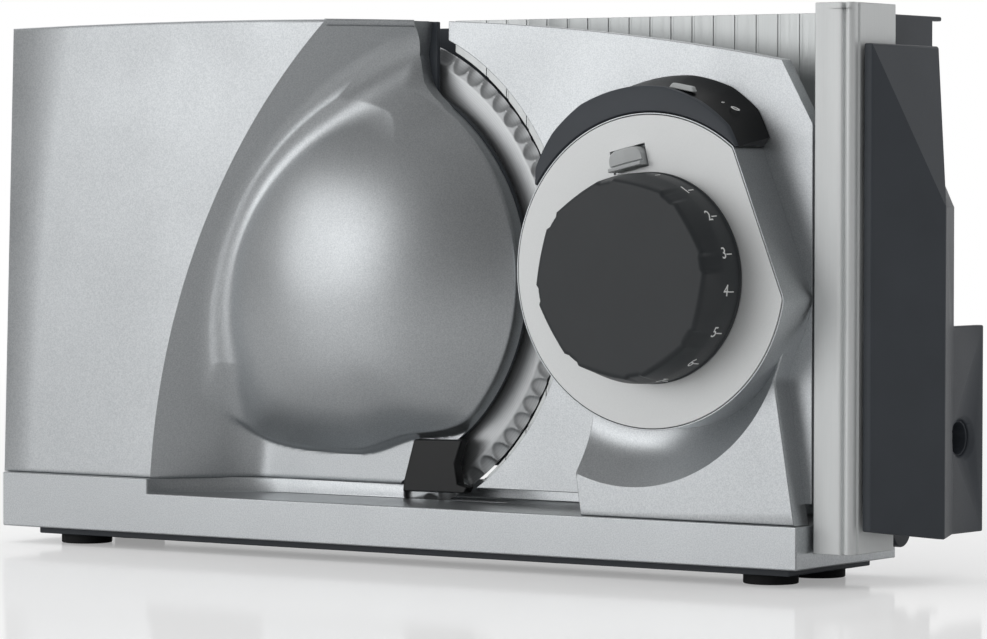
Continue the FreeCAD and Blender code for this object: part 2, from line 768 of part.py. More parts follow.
turret_bolts = (("disc_x", "disc_z + drum_radius - 5.5"), ("dial_x - 23", "32"), ("dial_x + 37", "32"))
foot_bolts = ("dial_x - 26", "dial_x + 39")


def dial_turret():
    """Drum behind the dial, open inside, with the foot that comes down to the base front."""
    moulding = body("turret_moulding")
    panel = "0 - panel_front"
    add(moulding, [("dial_x - 35", "tray_top"), ("base_length - 1", "tray_top"),
                   ("base_length - 0.5", "disc_z - 7.9"), ("dial_x + 31", "disc_z + 9.7"),
                   ("dial_x - 29", "disc_z + 9.7"), ("dial_x - 35", "disc_z - 34.3")], panel, "0 - 0.7")
    add_round(moulding, "disc_x", "disc_z", "drum_radius", panel, "0 - drum_front")
    cut(moulding, facet_side, panel, "0 - drum_front")
    cut_round(moulding, "disc_x", "disc_z", "drum_radius - 11", "0 - 4", "0 - drum_front")
    cut_round(moulding, "disc_x", "disc_z", "drum_radius - 11", panel, "0 - 7")
    cut(moulding, tab_outline("0.2"), "1", "0 - drum_front")
    cut_round(moulding, "dial_x", "dial_z", "tube_radius + fit", panel, "0")
    for x, z in turret_bolts:
        cut_round(moulding, x, z, "screw_core", panel, "0 - 4")
    bores = [rod("screw_core", "12", x, "5.7", "tray_top - 1", "up") for x in foot_bolts]
    upright = doc.addObject("Part::Compound", "turret_upright")
    upright.Links = [moulding]
    moulding.Placement = FreeCAD.Placement(V(), FreeCAD.Rotation(V(1, 0, 0), 90))
    made = less(upright, fused(*bores))
    made.Label = "dial_turret"
    return place(made)


facet_side = [("disc_x + 23.5", "disc_z + 60.7"), ("disc_x + 72", "disc_z + 60.7"),
              ("disc_x + 72", "disc_z - 49.3"), ("disc_x + 66.6", "disc_z - 49.3")]


def tab_outline(slack):
    """The lock tab's front view."""
    return box(f"disc_x - 15.1 - {slack}", f"disc_x + 0.2 + {slack}",
               f"disc_z + 32.6 - {slack}", f"disc_z + 39.7 + {slack}")


def turret_screws():
    pieces = []
    for x, z in turret_bolts:
        head = rod("screw_head", "2", x, "panel_front + panel_sheet", z)
        core = rod("screw_core", "panel_sheet + 4", x, "panel_front - 4", z)
        pieces.append(fused(head, core))
    for x in foot_bolts:
        head = rod("screw_head", "2", x, "5.7", "tray_top - wall - 2", "up")
        core = rod("screw_core", "wall + 8", x, "5.7", "tray_top - wall", "up")
        pieces.append(fused(head, core))
    return group("turret_screws", *pieces)


def dial_plate():
    """Flat disc round the knob, with a sleeve for the spindle and a slot for the lock tab."""
    made = body("dial_plate")
    back = "0 - drum_front"
    front = f"{back} + plate_thickness"
    add_round(made, "disc_x", "disc_z", "drum_radius", back, front)
    cut(made, facet_side, back, front)
    add_round(made, "dial_x", "dial_z", "9", front, f"{front} + 4.5")
    cut_round(made, "dial_x", "dial_z", "spindle_radius + fit", back, f"{front} + 4.5")
    cut(made, tab_outline("0.2"), back, front)
    return place(made, front=True)


def knob():
    """Hollow knob: tapered skirt, eight notches round the front edge and a hub on the spindle."""
    made = body("knob")
    skirt = add_round(made, "0", "0", "knob_radius", "0", "knob_depth")
    skirt.TaperAngle = -math.degrees(math.atan2(number("knob_radius - knob_face"), number("knob_depth")))
    bind(skirt, "TaperAngle", "-1 * atan((knob_radius - knob_face) / knob_depth)")
    cut_round(made, "0", "0", "knob_radius - 6", "0", "knob_depth - 3")
    add_round(made, "0", "0", "10", "5.5", "knob_depth - 2")
    cut_round(made, "0", "0", "spindle_radius", "0", "knob_depth - 6")
    notch = cut(made, box("knob_face - 2.2", "knob_face + 6", "0 - 1.8", "1.8"),
                "knob_depth - 7", "knob_depth")
    repeat_round(made, notch, 8)
    return place(made, front=True, at=("dial_x", "drum_front - plate_thickness - 0.5", "dial_z"))


def knob_spindle():
    bar = rod("spindle_radius", "36", "dial_x", "drum_front - plate_thickness - 13.5", "dial_z")
    nut = rod("tube_radius - 3", "9", "dial_x", "5", "dial_z")
    return group("knob_spindle", fused(bar, nut))


def power_switch():
    """Crescent over the disc, drawn about the disc's centre from 52 to 146 degrees."""
    made = body("power_switch")
    near = "drum_radius + 2 * gap"
    far = f"({near}) + switch_width"
    points = [(f"({near}) * cos(146)", f"({near}) * sin(146)", near),
              (f"({far}) * cos(146)", f"({far}) * sin(146)"),
              (f"({far}) * cos(52)", f"({far}) * sin(52)", f"0 - ({far})"),
              (f"({near}) * cos(52)", f"({near}) * sin(52)")]
    add(made, points, "0 - panel_front + gap", "0 - drum_front + plate_thickness")
    return place(made, front=True, at=("disc_x", "0", "disc_z"))


def lock_tab():
    made = body("lock_tab")
    add(made, tab_outline("0"), "0 - drum_front - 3.4", "0 - drum_front + plate_thickness + 2.5")
    return place(made, front=True)


def micro_switch():
    left = "disc_x - drum_radius + 27.2"
    low = "disc_z + drum_radius - 33.3"
    return group("micro_switch", block(left, f"{left} + 10", "0 - 3", "4", low, f"{low} + 10"))


def stop_plate():
    """Ribbed plate with a round edge beside the blade; the grooves are cut on both faces."""
    made = body("stop_plate")
    front = "0 - stop_front"
    back = "0 - stop_back"
    reach = "blade_radius + blade_gap"
    low = f"blade_x + sqrt(({reach}) * ({reach}) - (blade_z - stop_bottom) * (blade_z - stop_bottom))"
    high = f"blade_z + sqrt(({reach}) * ({reach}) - (172 - blade_x) * (172 - blade_x))"
    add(made, [("172", "stop_top"), ("172", high), (low, "stop_bottom", f"0 - ({reach})"),
               ("stop_right", "stop_bottom"), ("stop_right", "stop_top")], back, front)
    for near, far in ((f"{front} - 0.6", front), (back, f"{back} + 0.6")):
        groove = cut(made, box("stop_right - 3.4", "stop_right - 2.4", "stop_bottom", "stop_top"), near, far)
        doc.recompute()
        rows = made.newObject("PartDesign::LinearPattern", "grooves")
        rows.Originals = [groove]
        rows.Direction = (groove.Profile[0], ["H_Axis"])
        rows.Reversed = True
        rows.Occurrences = 18
        bind(rows, "Length", "17 * rib_pitch")
        made.Tip = rows
        doc.recompute()
    return place(made, front=True)


def thrust_tube():
    length = "stop_front - 11.2"
    tube = rod("tube_radius", length, "dial_x", "11.2", "dial_z")
    bore = rod("tube_radius - 2.6", length, "dial_x", "11.2 - 1", "dial_z")
    return group("thrust_tube", less(tube, bore))


def stop_slides():
    """Feet of the stop plate: a post through the tray and a bar that runs between the tracks."""
    pieces = []
    roof = "tray_top - wall - 0.3"
    for x in slide_columns:
        bar = block(f"{x} - 5", f"{x} + 5", "24.5", "46", f"{roof} - 7", roof)
        post = block(f"{x} - 3", f"{x} + 3", "stop_front", "stop_back", roof, "stop_bottom")
        pieces.append(fused(bar, post))
    return group("stop_slides", *pieces)


def guide_tracks():
    pieces = []
    for x in slide_columns:
        for side in (f"{x} - 7.5", f"{x} + 5.3"):
            pieces.append(block(side, f"{side} + 2.2", "12", "48", "3", "tray_top - wall"))
    return group("guide_tracks", *pieces)


def slice_deflector():
    made = body("slice_deflector")
    add(made, [("160.5", "34.9"), ("156.4", "21.2"), ("155.8", "16.9"), ("181.5", "17.2"),
               ("182.7", "19.3"), ("178.7", "20.2"), ("177.5", "27.2"), ("180.4", "35.3")],
        "0 - cover_front", "0 - cover_front + 4.5")
    return place(made, front=True)


def end_profile():
    """Upright extrusion, closed at the top, with a groove and a bead at the outer front corner."""
    made = body("profile_extrusion")
    right = "profile_left + profile_width"
    back = "profile_front + profile_depth"
    add(made, [("profile_left", "profile_front"), (f"{right} - 3.4", "profile_front"),
               (f"{right} - 3.4", "profile_front + 0.9"), (f"{right} - 2.4", "profile_front + 0.9"),
               (f"{right} - 2.4", "profile_front"), (right, "profile_front + 2.4", "2.4"),
               (right, back), ("profile_left", back)], "profile_bottom", "profile_top")
    cut(made, box("profile_left + profile_wall", f"{right} - profile_wall",
                  "profile_front + 2 * profile_wall", f"{back} - profile_wall"),
        "profile_bottom", "profile_top - profile_wall")
    lug = block("base_length", "profile_left", "14", "32", "5.2", "11.2")
    bores = [rod("screw_core", "8", "base_length - 1", y, "bolt_height", "right") for y in profile_bolts]
    shaped = less(fused(made, lug), fused(*bores))
    shaped.Label = "end_profile"
    return place(shaped)


def profile_screws():
    pieces = []
    for y in profile_bolts:
        head = rod("screw_head", "2", "base_length - wall - 2", y, "bolt_height", "right")
        core = rod("screw_core", "wall + 4", "base_length - wall", y, "bolt_height", "right")
        pieces.append(fused(head, core))
    return group("profile_screws", *pieces)


# The folding table, the food carriage and the hand guard


def carriage_bed():
    """Table plate with a deep rim, hinge knuckles, and the end wall with its lips and lobe."""
    made = body("bed_moulding")
    outer = box("bed_left", "end_wall_left", "bed_bottom", "bed_top")
    inner = box("bed_left + wall", "end_wall_left - wall", "bed_bottom + wall", "bed_top - wall")
    add(made, outer, "0 - bed_rear", "0 - bed_front")
    cut(made, inner, "0 - bed_rear", "0 - bed_front - bed_plate")
    stood = doc.addObject("Part::Compound", "bed_stood")
    stood.Links = [made]
    made.Placement = FreeCAD.Placement(V(), FreeCAD.Rotation(V(1, 0, 0), 90))
    right = "end_wall_left + 3"
    pieces = [stood, block("end_wall_left", right, "end_wall_front", "end_wall_rear", "7.3", "bed_top + 1.5")]
    for low in ("6.2", "bed_top"):
        pieces.append(block("end_wall_left", right, "end_wall_rear - 4", "end_wall_rear + lip",
                            low, f"{low} + 1.5"))
    pieces.append(rod("6", "3", "end_wall_left", "57.7", "10.1", "right"))
    for left in hinge_lugs:
        pieces.append(rod("3.7", "16", f"{left} + 12", "hinge_y", "hinge_z", "right"))
        pieces.append(block(f"{left} + 12", f"{left} + 28", "bed_front + gap", "bed_front + bed_plate",
                            "hinge_z", "bed_bottom"))
    bores = [rod("pin_radius + fit", "18", f"{left} + 11", "hinge_y", "hinge_z", "right")
             for left in hinge_lugs]
    shaped = less(fused(*pieces), fused(*bores))
    shaped.Label = "carriage_bed"
    return place(shaped)


def hinge_pins():
    return group("hinge_pins", *[rod("pin_radius", "28", left, "hinge_y", "hinge_z", "right")
                                 for left in hinge_lugs])


def bed_rails():
    return group("bed_rails", *[block("bed_left + 4", "end_wall_left - 2", "bed_front - 2", "bed_front",
                                      f"{middle} - 2", f"{middle} + 2")
                                for middle in ("rail_low", "rail_high")])


def food_carriage():
    right = "sled_left + sled_length"
    top = "sled_bottom + sled_height"
    plate = block("sled_left", right, "sled_front", "sled_front + 3", "sled_bottom", top)
    fence = block(f"{right} - 4", right, "sled_front - 7.5", "sled_front", "sled_bottom", top)
    ledge = block("sled_left", right, "sled_front - 7.5", "sled_front", "sled_bottom", "sled_bottom + 3")
    return group("food_carriage", fused(plate, fence, ledge))


def carriage_shoes():
    """Four shoes under the carriage plate, each with two cheeks that hold it on its rail."""
    pieces = []
    for middle in ("rail_low", "rail_high"):
        for left in ("sled_left + 8", "sled_left + sled_length - 28"):
            right = f"{left} + 20"
            sole = block(left, right, "sled_front + 3", "bed_front - 2.3", f"{middle} - 5", f"{middle} + 5")
            lower = block(left, right, "sled_front + 3", "bed_front - 0.3",
                          f"{middle} - 5", f"{middle} - 2.3")
            upper = block(left, right, "sled_front + 3", "bed_front - 0.3",
                          f"{middle} + 2.3", f"{middle} + 5")
            pieces.append(fused(sole, lower, upper))
    return group("carriage_shoes", *pieces)


stud_rows = ("24", "62")


def guard_studs():
    return group("guard_studs", *[rod("5", "11", "end_wall_left + 3", "66", z, "right")
                                  for z in stud_rows])


def hand_guard():
    """Folded sheet: flat facets between its corners, each thickened towards the machine. The long
    fold stands upright and turns towards the upper front corner; a short wing lies low behind it."""
    crest_x = number("guard_crest")
    low, wing, turn, top = (number(name) for name in
                            ("guard_bottom", "guard_low_top", "guard_crest_top", "guard_top"))
    front_foot, front_head = V(crest_x - 12.8, 13.4, low + 3.4), V(crest_x - 12.8, 13.4, top)
    crest_foot, crest_head = V(crest_x, 39, low), V(crest_x, 39, turn)
    fold_foot, fold_head = V(crest_x - 8, 59, low), V(crest_x - 8, 59, turn)
    rear_low, rear_head = V(crest_x - 13, 57, turn + 12.7), V(crest_x - 13, 57, top)
    wing_foot, wing_head = V(crest_x - 7, 77.5, low), V(crest_x - 7, 77.5, wing)
    fold_wing = V(fold_foot.x, fold_foot.y, wing)
    facets = [(front_foot, crest_foot, crest_head, front_head), (crest_head, rear_head, front_head),
              (crest_head, rear_low, rear_head), (crest_head, fold_head, rear_low),
              (crest_foot, fold_foot, fold_head, crest_head), (fold_foot, wing_foot, wing_head, fold_wing)]
    inward = V(-number("guard_sheet"), 0, 0)
    sheets = [Part.Face(Part.makePolygon(list(facet) + [facet[0]])).extrude(inward) for facet in facets]
    shell = sheets[0].fuse(sheets[1:])
    wall_left = number("end_wall_left") + 3
    for z in stud_rows:
        tube = Part.makeCylinder(8, crest_x - 9 - wall_left, V(wall_left + 0.4, 66, float(z)), V(1, 0, 0))
        bore = Part.makeCylinder(5.3, 12.5, V(wall_left, 66, float(z)), V(1, 0, 0))
        shell = shell.fuse(tube).cut(bore)
    cup = Part.makeCylinder(7, 10, V(crest_x - 19, 64.5, 40), V(1, 0, 0))
    bore = Part.makeCylinder(5.25, 40, V(crest_x - 17.4, 64.5, 40), V(1, 0, 0))
    dish = Part.makeCone(5.6, 8.4, 2, V(crest_x - 9.1, 64.5, 40), V(1, 0, 0))
    shell = shell.fuse(cup).cut([bore, dish])
    made = doc.addObject("Part::Feature", "hand_guard")
    made.Shape = shell.removeSplitter()
    return place(made)


# Builds everything and writes one file for each piece

hinge_bores(base_housing())
for build in (base_pan, bottom_screws, feet, motor_housing, housing_cover, blade_guard, housing_screws,
              blade, worm_wheel, blade_shaft, blade_fastener, hub_bush, gearbox_plate, worm_bush,
              worm_shaft, motor, circuit_board, board_standoffs, board_parts, mains_inlet, right_panel,
              dial_turret, turret_screws, dial_plate, knob, knob_spindle, power_switch, lock_tab,
              micro_switch, stop_plate, thrust_tube, stop_slides, guide_tracks, slice_deflector,
              end_profile, profile_screws, carriage_bed, hinge_pins, bed_rails, food_carriage,
              carriage_shoes, guard_studs, hand_guard):
    build()
sheet.clear("D1")
doc.recompute()

failed = [thing.Label for thing in doc.Objects if "Invalid" in thing.State or "Error" in thing.State]
failed += [node.Label for node in nodes if node.Shape.isNull() or not node.Shape.isValid()]
if failed:
    raise RuntimeError("these did not build: " + ", ".join(failed))

os.makedirs("parts", exist_ok=True)
whole = FreeCAD.BoundBox()
for node in nodes:
    whole.add(node.Shape.optimalBoundingBox())
    node.Shape.exportStep(f"parts/{node.Label}.step")
print(len(nodes), "pieces,", "from", whole.XMin, whole.YMin, whole.ZMin, "to",
      whole.XMax, whole.YMax, whole.ZMax)
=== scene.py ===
# %% [markdown]
# An electric food slicer, finished in Blender around its CAD model.
# The CAD model gives every size and every moving body. This lesson adds what the eye judges: the shaped
# housing, soft moulded edges, the lacquer, the ground blade, and the light that shows them.

# %% Load the CAD model
import json
import math
import bpy
from mathutils import Matrix, Vector


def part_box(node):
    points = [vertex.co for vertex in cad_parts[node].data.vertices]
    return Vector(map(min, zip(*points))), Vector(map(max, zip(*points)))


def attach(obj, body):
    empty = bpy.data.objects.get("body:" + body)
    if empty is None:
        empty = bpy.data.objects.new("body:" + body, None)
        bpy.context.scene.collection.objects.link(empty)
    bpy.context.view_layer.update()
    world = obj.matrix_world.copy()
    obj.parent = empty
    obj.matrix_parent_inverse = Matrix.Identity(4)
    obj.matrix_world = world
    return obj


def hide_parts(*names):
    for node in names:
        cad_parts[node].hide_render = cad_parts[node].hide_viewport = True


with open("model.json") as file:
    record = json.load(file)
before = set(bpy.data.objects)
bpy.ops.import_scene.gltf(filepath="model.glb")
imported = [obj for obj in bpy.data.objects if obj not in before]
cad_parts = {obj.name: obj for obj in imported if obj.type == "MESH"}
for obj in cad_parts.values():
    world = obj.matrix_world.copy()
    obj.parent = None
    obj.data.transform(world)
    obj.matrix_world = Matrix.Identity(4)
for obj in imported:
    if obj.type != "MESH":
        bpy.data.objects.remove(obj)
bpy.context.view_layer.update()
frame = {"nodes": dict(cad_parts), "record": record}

# %% [markdown]
# The machine was measured in millimetres from the lower front left corner of its base: x to the right,
# y away from the viewer, z up. Blender works in metres from the middle of the footprint, so one small
# function turns a measured place into a place in the scene, and every piece below is given by it.

# %% Units and places
MM = 0.001
BASE_CORNER = Vector((-0.17935, -0.0274, 0.006))


def at(x, y, z):
    """A place in millimetres from the base's lower front left corner, in metres."""
    return Vector((x, y, z)) * MM + BASE_CORNER


print("base corner", at(0, 0, 0))

# %% [markdown]
# The camera stands to the right of the machine and a little above it, with a long lens, so that upright
# edges stay nearly parallel. Its direction is built from three angles, which is easier to read than a
# ready-made rotation.

# %% Camera
CAMERA_PLACE = Vector((0.88369, -1.27420, 0.13124))
YAW, PITCH, ROLL = (math.radians(angle) for angle in (34.320, 1.811, -0.096))


def directions(turn):
    """The ways outward and onward at an angle round an axis that runs from front to back."""
    return Vector((math.cos(turn), 0, math.sin(turn))), Vector((-math.sin(turn), 0, math.cos(turn)))


def turned_to(x_way, y_way, z_way):
    """A rotation whose own axes point along three directions."""
    return Matrix((x_way, y_way, z_way)).transposed().to_4x4()


ahead = Vector((-math.sin(YAW) * math.cos(PITCH), math.cos(YAW) * math.cos(PITCH), -math.sin(PITCH)))
level = Vector((math.cos(YAW), math.sin(YAW), 0))
below = ahead.cross(level)
picture_right = math.cos(ROLL) * level + math.sin(ROLL) * below
picture_down = math.cos(ROLL) * below - math.sin(ROLL) * level
bpy.ops.object.camera_add()
camera = bpy.context.object
camera.matrix_world = Matrix.Translation(CAMERA_PLACE) @ turned_to(picture_right, -picture_down, -ahead)
camera.data.sensor_width, camera.data.lens = 36, 166.82
bpy.context.scene.camera = camera
print("camera looks along", ahead)

# %% [markdown]
# Materials are small node trees. One function turns a colour from its sRGB hex value to the linear
# numbers that Blender's shaders need, and one function adds a node with its settings and its links.
# With those two, each material reads as a short list of what the surface is made of. The sockets of a Mix
# node have numbers, so they get names here.

# %% Material helpers
COLOUR_A, COLOUR_B, MIXED_COLOUR = 6, 7, 2
NUMBER_A, NUMBER_B = 2, 3


def colour(code):
    """A linear colour from a six-figure sRGB hex value."""
    shares = [int(code[place:place + 2], 16) / 255 for place in (0, 2, 4)]
    return [share / 12.92 if share <= 0.04045 else ((share + 0.055) / 1.055) ** 2.4 for share in shares] + [1]


def new_tree(material):
    """Gives a material or a world an empty node tree."""
    material.use_nodes = True
    material.node_tree.nodes.clear()
    return material.node_tree


def add_node(tree, kind, inputs, **settings):
    """Adds a node and returns its outputs. An input takes a number, a colour or the output that feeds it."""
    node = tree.nodes.new("ShaderNode" + kind)
    for name, value in settings.items():
        setattr(node, name, value)
    for name, value in inputs.items():
        if isinstance(value, bpy.types.NodeSocket):
            tree.links.new(value, node.inputs[name])
        else:
            node.inputs[name].default_value = value
    return node.outputs


def surface(tree, look):
    """Ends a material with one Principled shader."""
    add_node(tree, "OutputMaterial", {"Surface": add_node(tree, "BsdfPrincipled", look)["BSDF"]})


def patterned(tree, shade, shades, gloss, span, roughness, bumps, strength, depth, metallic=0):
    """Ends a material: one pattern mixes its two shades, one varies its roughness, one gives its relief."""
    tint = add_node(tree, "Mix", {0: shade, COLOUR_A: colour(shades[0]), COLOUR_B: colour(shades[1])},
                    data_type="RGBA")[MIXED_COLOUR]
    rough = add_node(tree, "MapRange", {"Value": gloss, "From Min": span[0], "From Max": span[1],
                                        "To Min": roughness[0], "To Max": roughness[1]})[0]
    relief = add_node(tree, "Bump", {"Height": bumps, "Strength": strength, "Distance": depth * MM})[0]
    surface(tree, {"Metallic": metallic, "Base Color": tint, "Roughness": rough, "Normal": relief})


def place_in_mm(tree, stretch=(1, 1, 1)):
    """The surface place in millimetres, so that a noise scale of 1 / d draws grains d millimetres wide."""
    spot = add_node(tree, "TexCoord", {})["Object"]
    return add_node(tree, "Mapping", {"Vector": spot, "Scale": [1000 * share for share in stretch]})[0]


# %% [markdown]
# The housing, the base and the turret are painted with a silver metallic lacquer. The paint holds flakes
# of aluminium a few hundredths of a millimetre across, which lie nearly flat, so the surface reflects like
# satin metal with a fine sparkle. Plain metal would look dead beside it, so two noises are added: flakes,
# drawn 0.45 mm wide because finer ones would not show, and a faint cloud where the coat varies.

# %% Silver lacquer
FLAKE_WIDTH, CLOUD_WIDTH = 0.45, 28.0
lacquer = bpy.data.materials.new("silver_metallic_lacquer")
tree = new_tree(lacquer)
place = place_in_mm(tree)
flakes = add_node(tree, "TexNoise", {"Vector": place, "Scale": 1 / FLAKE_WIDTH, "Detail": 1.0,
                                     "Roughness": 0.6})[0]
cloud = add_node(tree, "TexNoise", {"Vector": place, "Scale": 1 / CLOUD_WIDTH, "Detail": 2.0})[0]
sparkle = add_node(tree, "MapRange", {"Value": flakes, "From Min": 0.3, "From Max": 0.7})[0]
patterned(tree, shade=sparkle, shades=("BDC1C4", "D2D5D7"), gloss=cloud, span=(0.3, 0.7),
          roughness=(0.33, 0.38), bumps=flakes, strength=0.10, depth=0.02, metallic=0.93)
print(lacquer.name, "with flakes", FLAKE_WIDTH, "mm wide")

# %% [markdown]
# Metal parts keep their bare metal. The dial disc is aluminium sheet, blasted so finely that it scatters
# a part of the light evenly, as a matt paint does; that is why its metallic value is below 1. The end
# profile and the ribbed stop plate are anodised aluminium: a hard clear skin over fine lines that the
# extrusion die leaves along the length. The profile gets a lighter, less metallic copy of that finish, which
# is painted light: it stands in for the light that the profile catches. One recipe serves them all, because
# only the grain's size, its direction and the gloss differ.

# %% Bare metals


def metal(name, dark, light, roughness, grain, stretch, depth, metallic=1.0):
    """Metal with a grain that many millimetres wide, stretched along one or two axes."""
    material = bpy.data.materials.new(name)
    tree = new_tree(material)
    grains = add_node(tree, "TexNoise", {"Vector": place_in_mm(tree, stretch), "Scale": 1 / grain,
                                         "Detail": 3.0, "Roughness": 0.6})[0]
    patterned(tree, shade=grains, shades=(dark, light), gloss=grains, span=(0.25, 0.75), bumps=grains,
              roughness=(roughness - 0.05, roughness + 0.05), strength=0.2, depth=depth, metallic=metallic)
    return material


EVEN, UPRIGHT = (1, 1, 1), (1, 1, 0.02)
satin_aluminium = metal("satin_aluminium_sheet", "E4E6E6", "EFF1F1", 0.5, 0.35, EVEN, 0.008, 0.5)
anodised = metal("anodised_aluminium_profile", "C4C7C7", "D6D9D9", 0.42, 0.5, UPRIGHT, 0.01)
# The end profile's finish is a lighter, less metallic copy of the anodised one: painted light for the light that
# the profile catches.
painted_light_anodised = metal("bright_anodised_profile", "E2E5E5", "EEF0F0", 0.5, 0.5, UPRIGHT, 0.01, 0.45)
zinc_steel = metal("zinc_plated_steel", "9FA3A8", "C2C6CA", 0.3, 1.2, EVEN, 0.01)
bronze = metal("sintered_bronze", "7A5A30", "A07C48", 0.42, 0.3, EVEN, 0.02)
print("five metals")

# %% [markdown]
# The blade is stainless steel, turned on a grinding wheel, so its scratches run in circles round the
# centre. The pattern is a noise that depends only on the distance from the blade's axis. Real scratches
# are a few hundredths of a millimetre wide; they are drawn 0.3 mm wide here, so that they show. They
# scatter part of the light evenly, so the metallic value stays a little below 1.

# %% Ground blade steel
BLADE_X, BLADE_Z, BLADE_RADIUS, SCRATCH_WIDTH = 130.7, 90.5, 85.0, 0.3
blade_steel = bpy.data.materials.new("ground_stainless_steel")
tree = new_tree(blade_steel)
spot = add_node(tree, "TexCoord", {})["Object"]
arm = add_node(tree, "VectorMath", {0: spot, 1: at(BLADE_X, 0, BLADE_Z)}, operation="SUBTRACT")
flat_arm = add_node(tree, "VectorMath", {0: arm[0], 1: (1000, 0, 1000)}, operation="MULTIPLY")
reach = add_node(tree, "VectorMath", {0: flat_arm[0]}, operation="LENGTH")
rings = add_node(tree, "TexNoise", {"W": reach["Value"], "Scale": 1 / SCRATCH_WIDTH, "Detail": 2.0},
                 noise_dimensions="1D")[0]
patterned(tree, shade=rings, shades=("B9BCBE", "DADCDD"), gloss=rings, span=(0, 1), roughness=(0.3, 0.46),
          bumps=rings, strength=0.15, depth=0.01, metallic=0.82)
print(blade_steel.name, "with rings", SCRATCH_WIDTH, "mm wide")

# %% [markdown]
# The plastic parts are injection moulded ABS and nylon. The mould is spark-eroded, which leaves a fine
# even grain of some tenths of a millimetre: it spreads the highlight without hiding it. Larger, faint
# clouds stand for the uneven flow of the plastic. Rubber and the white print are made the same way.

# %% Moulded plastics
FLOW_WIDTH = 18


def moulded(name, dark, light, roughness, grain=0.35, depth=0.03):
    """Moulded plastic between two close shades, with a grain that many millimetres wide."""
    material = bpy.data.materials.new(name)
    tree = new_tree(material)
    place = place_in_mm(tree)
    grains = add_node(tree, "TexNoise", {"Vector": place, "Scale": 1 / grain, "Detail": 2.0})[0]
    flow = add_node(tree, "TexNoise", {"Vector": place, "Scale": 1 / FLOW_WIDTH, "Detail": 3.0})[0]
    patterned(tree, shade=flow, shades=(dark, light), gloss=grains, span=(0.3, 0.7), bumps=grains,
              roughness=(roughness - 0.04, roughness + 0.04), strength=0.25, depth=depth)
    return material


grey_abs = moulded("dark_grey_abs", "3A3F45", "43484F", 0.52)
knob_abs = moulded("charcoal_abs_knob", "272B2E", "2D3134", 0.44)
black_nylon = moulded("black_glass_filled_nylon", "0C0E10", "141618", 0.42)
light_abs = moulded("light_grey_abs", "B4B7B8", "C2C5C5", 0.42)
rubber = moulded("moulded_rubber", "17181A", "222325", 0.8, 0.5, 0.05)
nylon = moulded("natural_nylon", "D8D3C4", "E6E2D6", 0.45, 0.6)
print_white = moulded("white_pad_print", "E8E9E8", "F2F3F2", 0.5, 0.3, 0.005)
print("seven plastics")

# %% [markdown]
# A circuit board is glass fibre laminate under green solder mask. The woven glass shows through as a
# faint check of about 0.8 mm, and the mask gives a thin gloss coat.

# %% Circuit board
WEAVE_WIDTH = 0.8
board_mask = bpy.data.materials.new("solder_mask_laminate")
tree = new_tree(board_mask)
weave = add_node(tree, "TexChecker", {"Vector": place_in_mm(tree), "Scale": 1 / WEAVE_WIDTH,
                                      "Color1": colour("1C5A36"), "Color2": colour("236841")})
surface(tree, {"Base Color": weave["Color"], "Roughness": 0.45, "Coat Weight": 0.5})
print(board_mask.name)

# %% [markdown]
# The CAD record names a material slot for each piece. A table gives each slot its finish, so that the
# pieces inside, which keep their CAD shape, are dressed in one loop.

# %% Finishes on the CAD pieces
FINISHES = {"silver_paint": lacquer, "brushed": satin_aluminium, "blade_steel": blade_steel,
            "anodised": anodised, "steel": zinc_steel, "dark_plastic": grey_abs, "knob_plastic": knob_abs,
            "black_plastic": black_nylon, "light_plastic": light_abs, "rubber": rubber, "nylon": nylon,
            "bronze": bronze, "board": board_mask}
slot_of = {part["node"]: part["material_slot"] for part in frame["record"]["subparts"]}
body_of = {node: body for body, nodes in frame["record"]["behaviour"]["bodies"].items() for node in nodes}
for node, thing in frame["nodes"].items():
    thing.data.materials.clear()
    thing.data.materials.append(FINISHES[slot_of[node]])
print(len(FINISHES), "finishes on", len(slot_of), "CAD pieces")

# %% [markdown]
# An operator acts on all that is selected, so one short helper adds a primitive with everything else
# deselected, and another opens a piece with only some faces selected. Two more give a piece its finish,
# its body and the CAD node that it stands for.

# %% Helpers that select


def only(piece):
    """Selects one piece and nothing else."""
    bpy.ops.object.select_all(action="DESELECT")
    piece.select_set(True)
    bpy.context.view_layer.objects.active = piece


def added(name, operator, **settings):
    """Adds a primitive with everything else deselected, and names it."""
    bpy.ops.object.select_all(action="DESELECT")
    operator(**settings)
    piece = bpy.context.object
    piece.name = piece.data.name = name
    return piece


def copied(name, mesh):
    """A selected piece with its own copy of a mesh."""
    piece = bpy.data.objects.new(name, mesh.copy())
    bpy.context.scene.collection.objects.link(piece)
    only(piece)
    return piece


def pick_faces(piece, chosen):
    """Opens a piece in edit mode with only the faces selected that a rule chooses."""
    only(piece)
    bpy.ops.object.mode_set(mode="EDIT")
    bpy.ops.mesh.select_mode(type="FACE")
    bpy.ops.mesh.select_all(action="DESELECT")
    bpy.ops.object.mode_set(mode="OBJECT")
    for face in piece.data.polygons:
        face.select = chosen(face)
    bpy.ops.object.mode_set(mode="EDIT")


def dress(piece, finish, body):
    """The piece gets its finish and rides on a body."""
    piece.data.materials.clear()
    piece.data.materials.append(finish)
    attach(piece, body)
    print(piece.name, len(piece.data.polygons), "faces")


def hand_over(piece, node, finish=None):
    """The piece is dressed as a CAD node is, and stands in for it."""
    dress(piece, finish or FINISHES[slot_of[node]], body_of[node])
    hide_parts(node)


# %% [markdown]
# The other helpers shape a mesh. Most are steps in edit mode that come back on many pieces. The last one
# rounds the edges, because no moulded or cut edge is perfectly sharp, and the thin highlight on a rounded
# edge is what makes a part look real.

# %% Helpers that shape


def leave():
    """Leaves edit mode."""
    bpy.ops.object.mode_set(mode="OBJECT")


def weld(distance):
    """Opens the active piece in edit mode and joins vertices that lie at one place."""
    bpy.ops.object.mode_set(mode="EDIT")
    bpy.ops.mesh.select_all(action="SELECT")
    bpy.ops.mesh.remove_doubles(threshold=distance * MM)


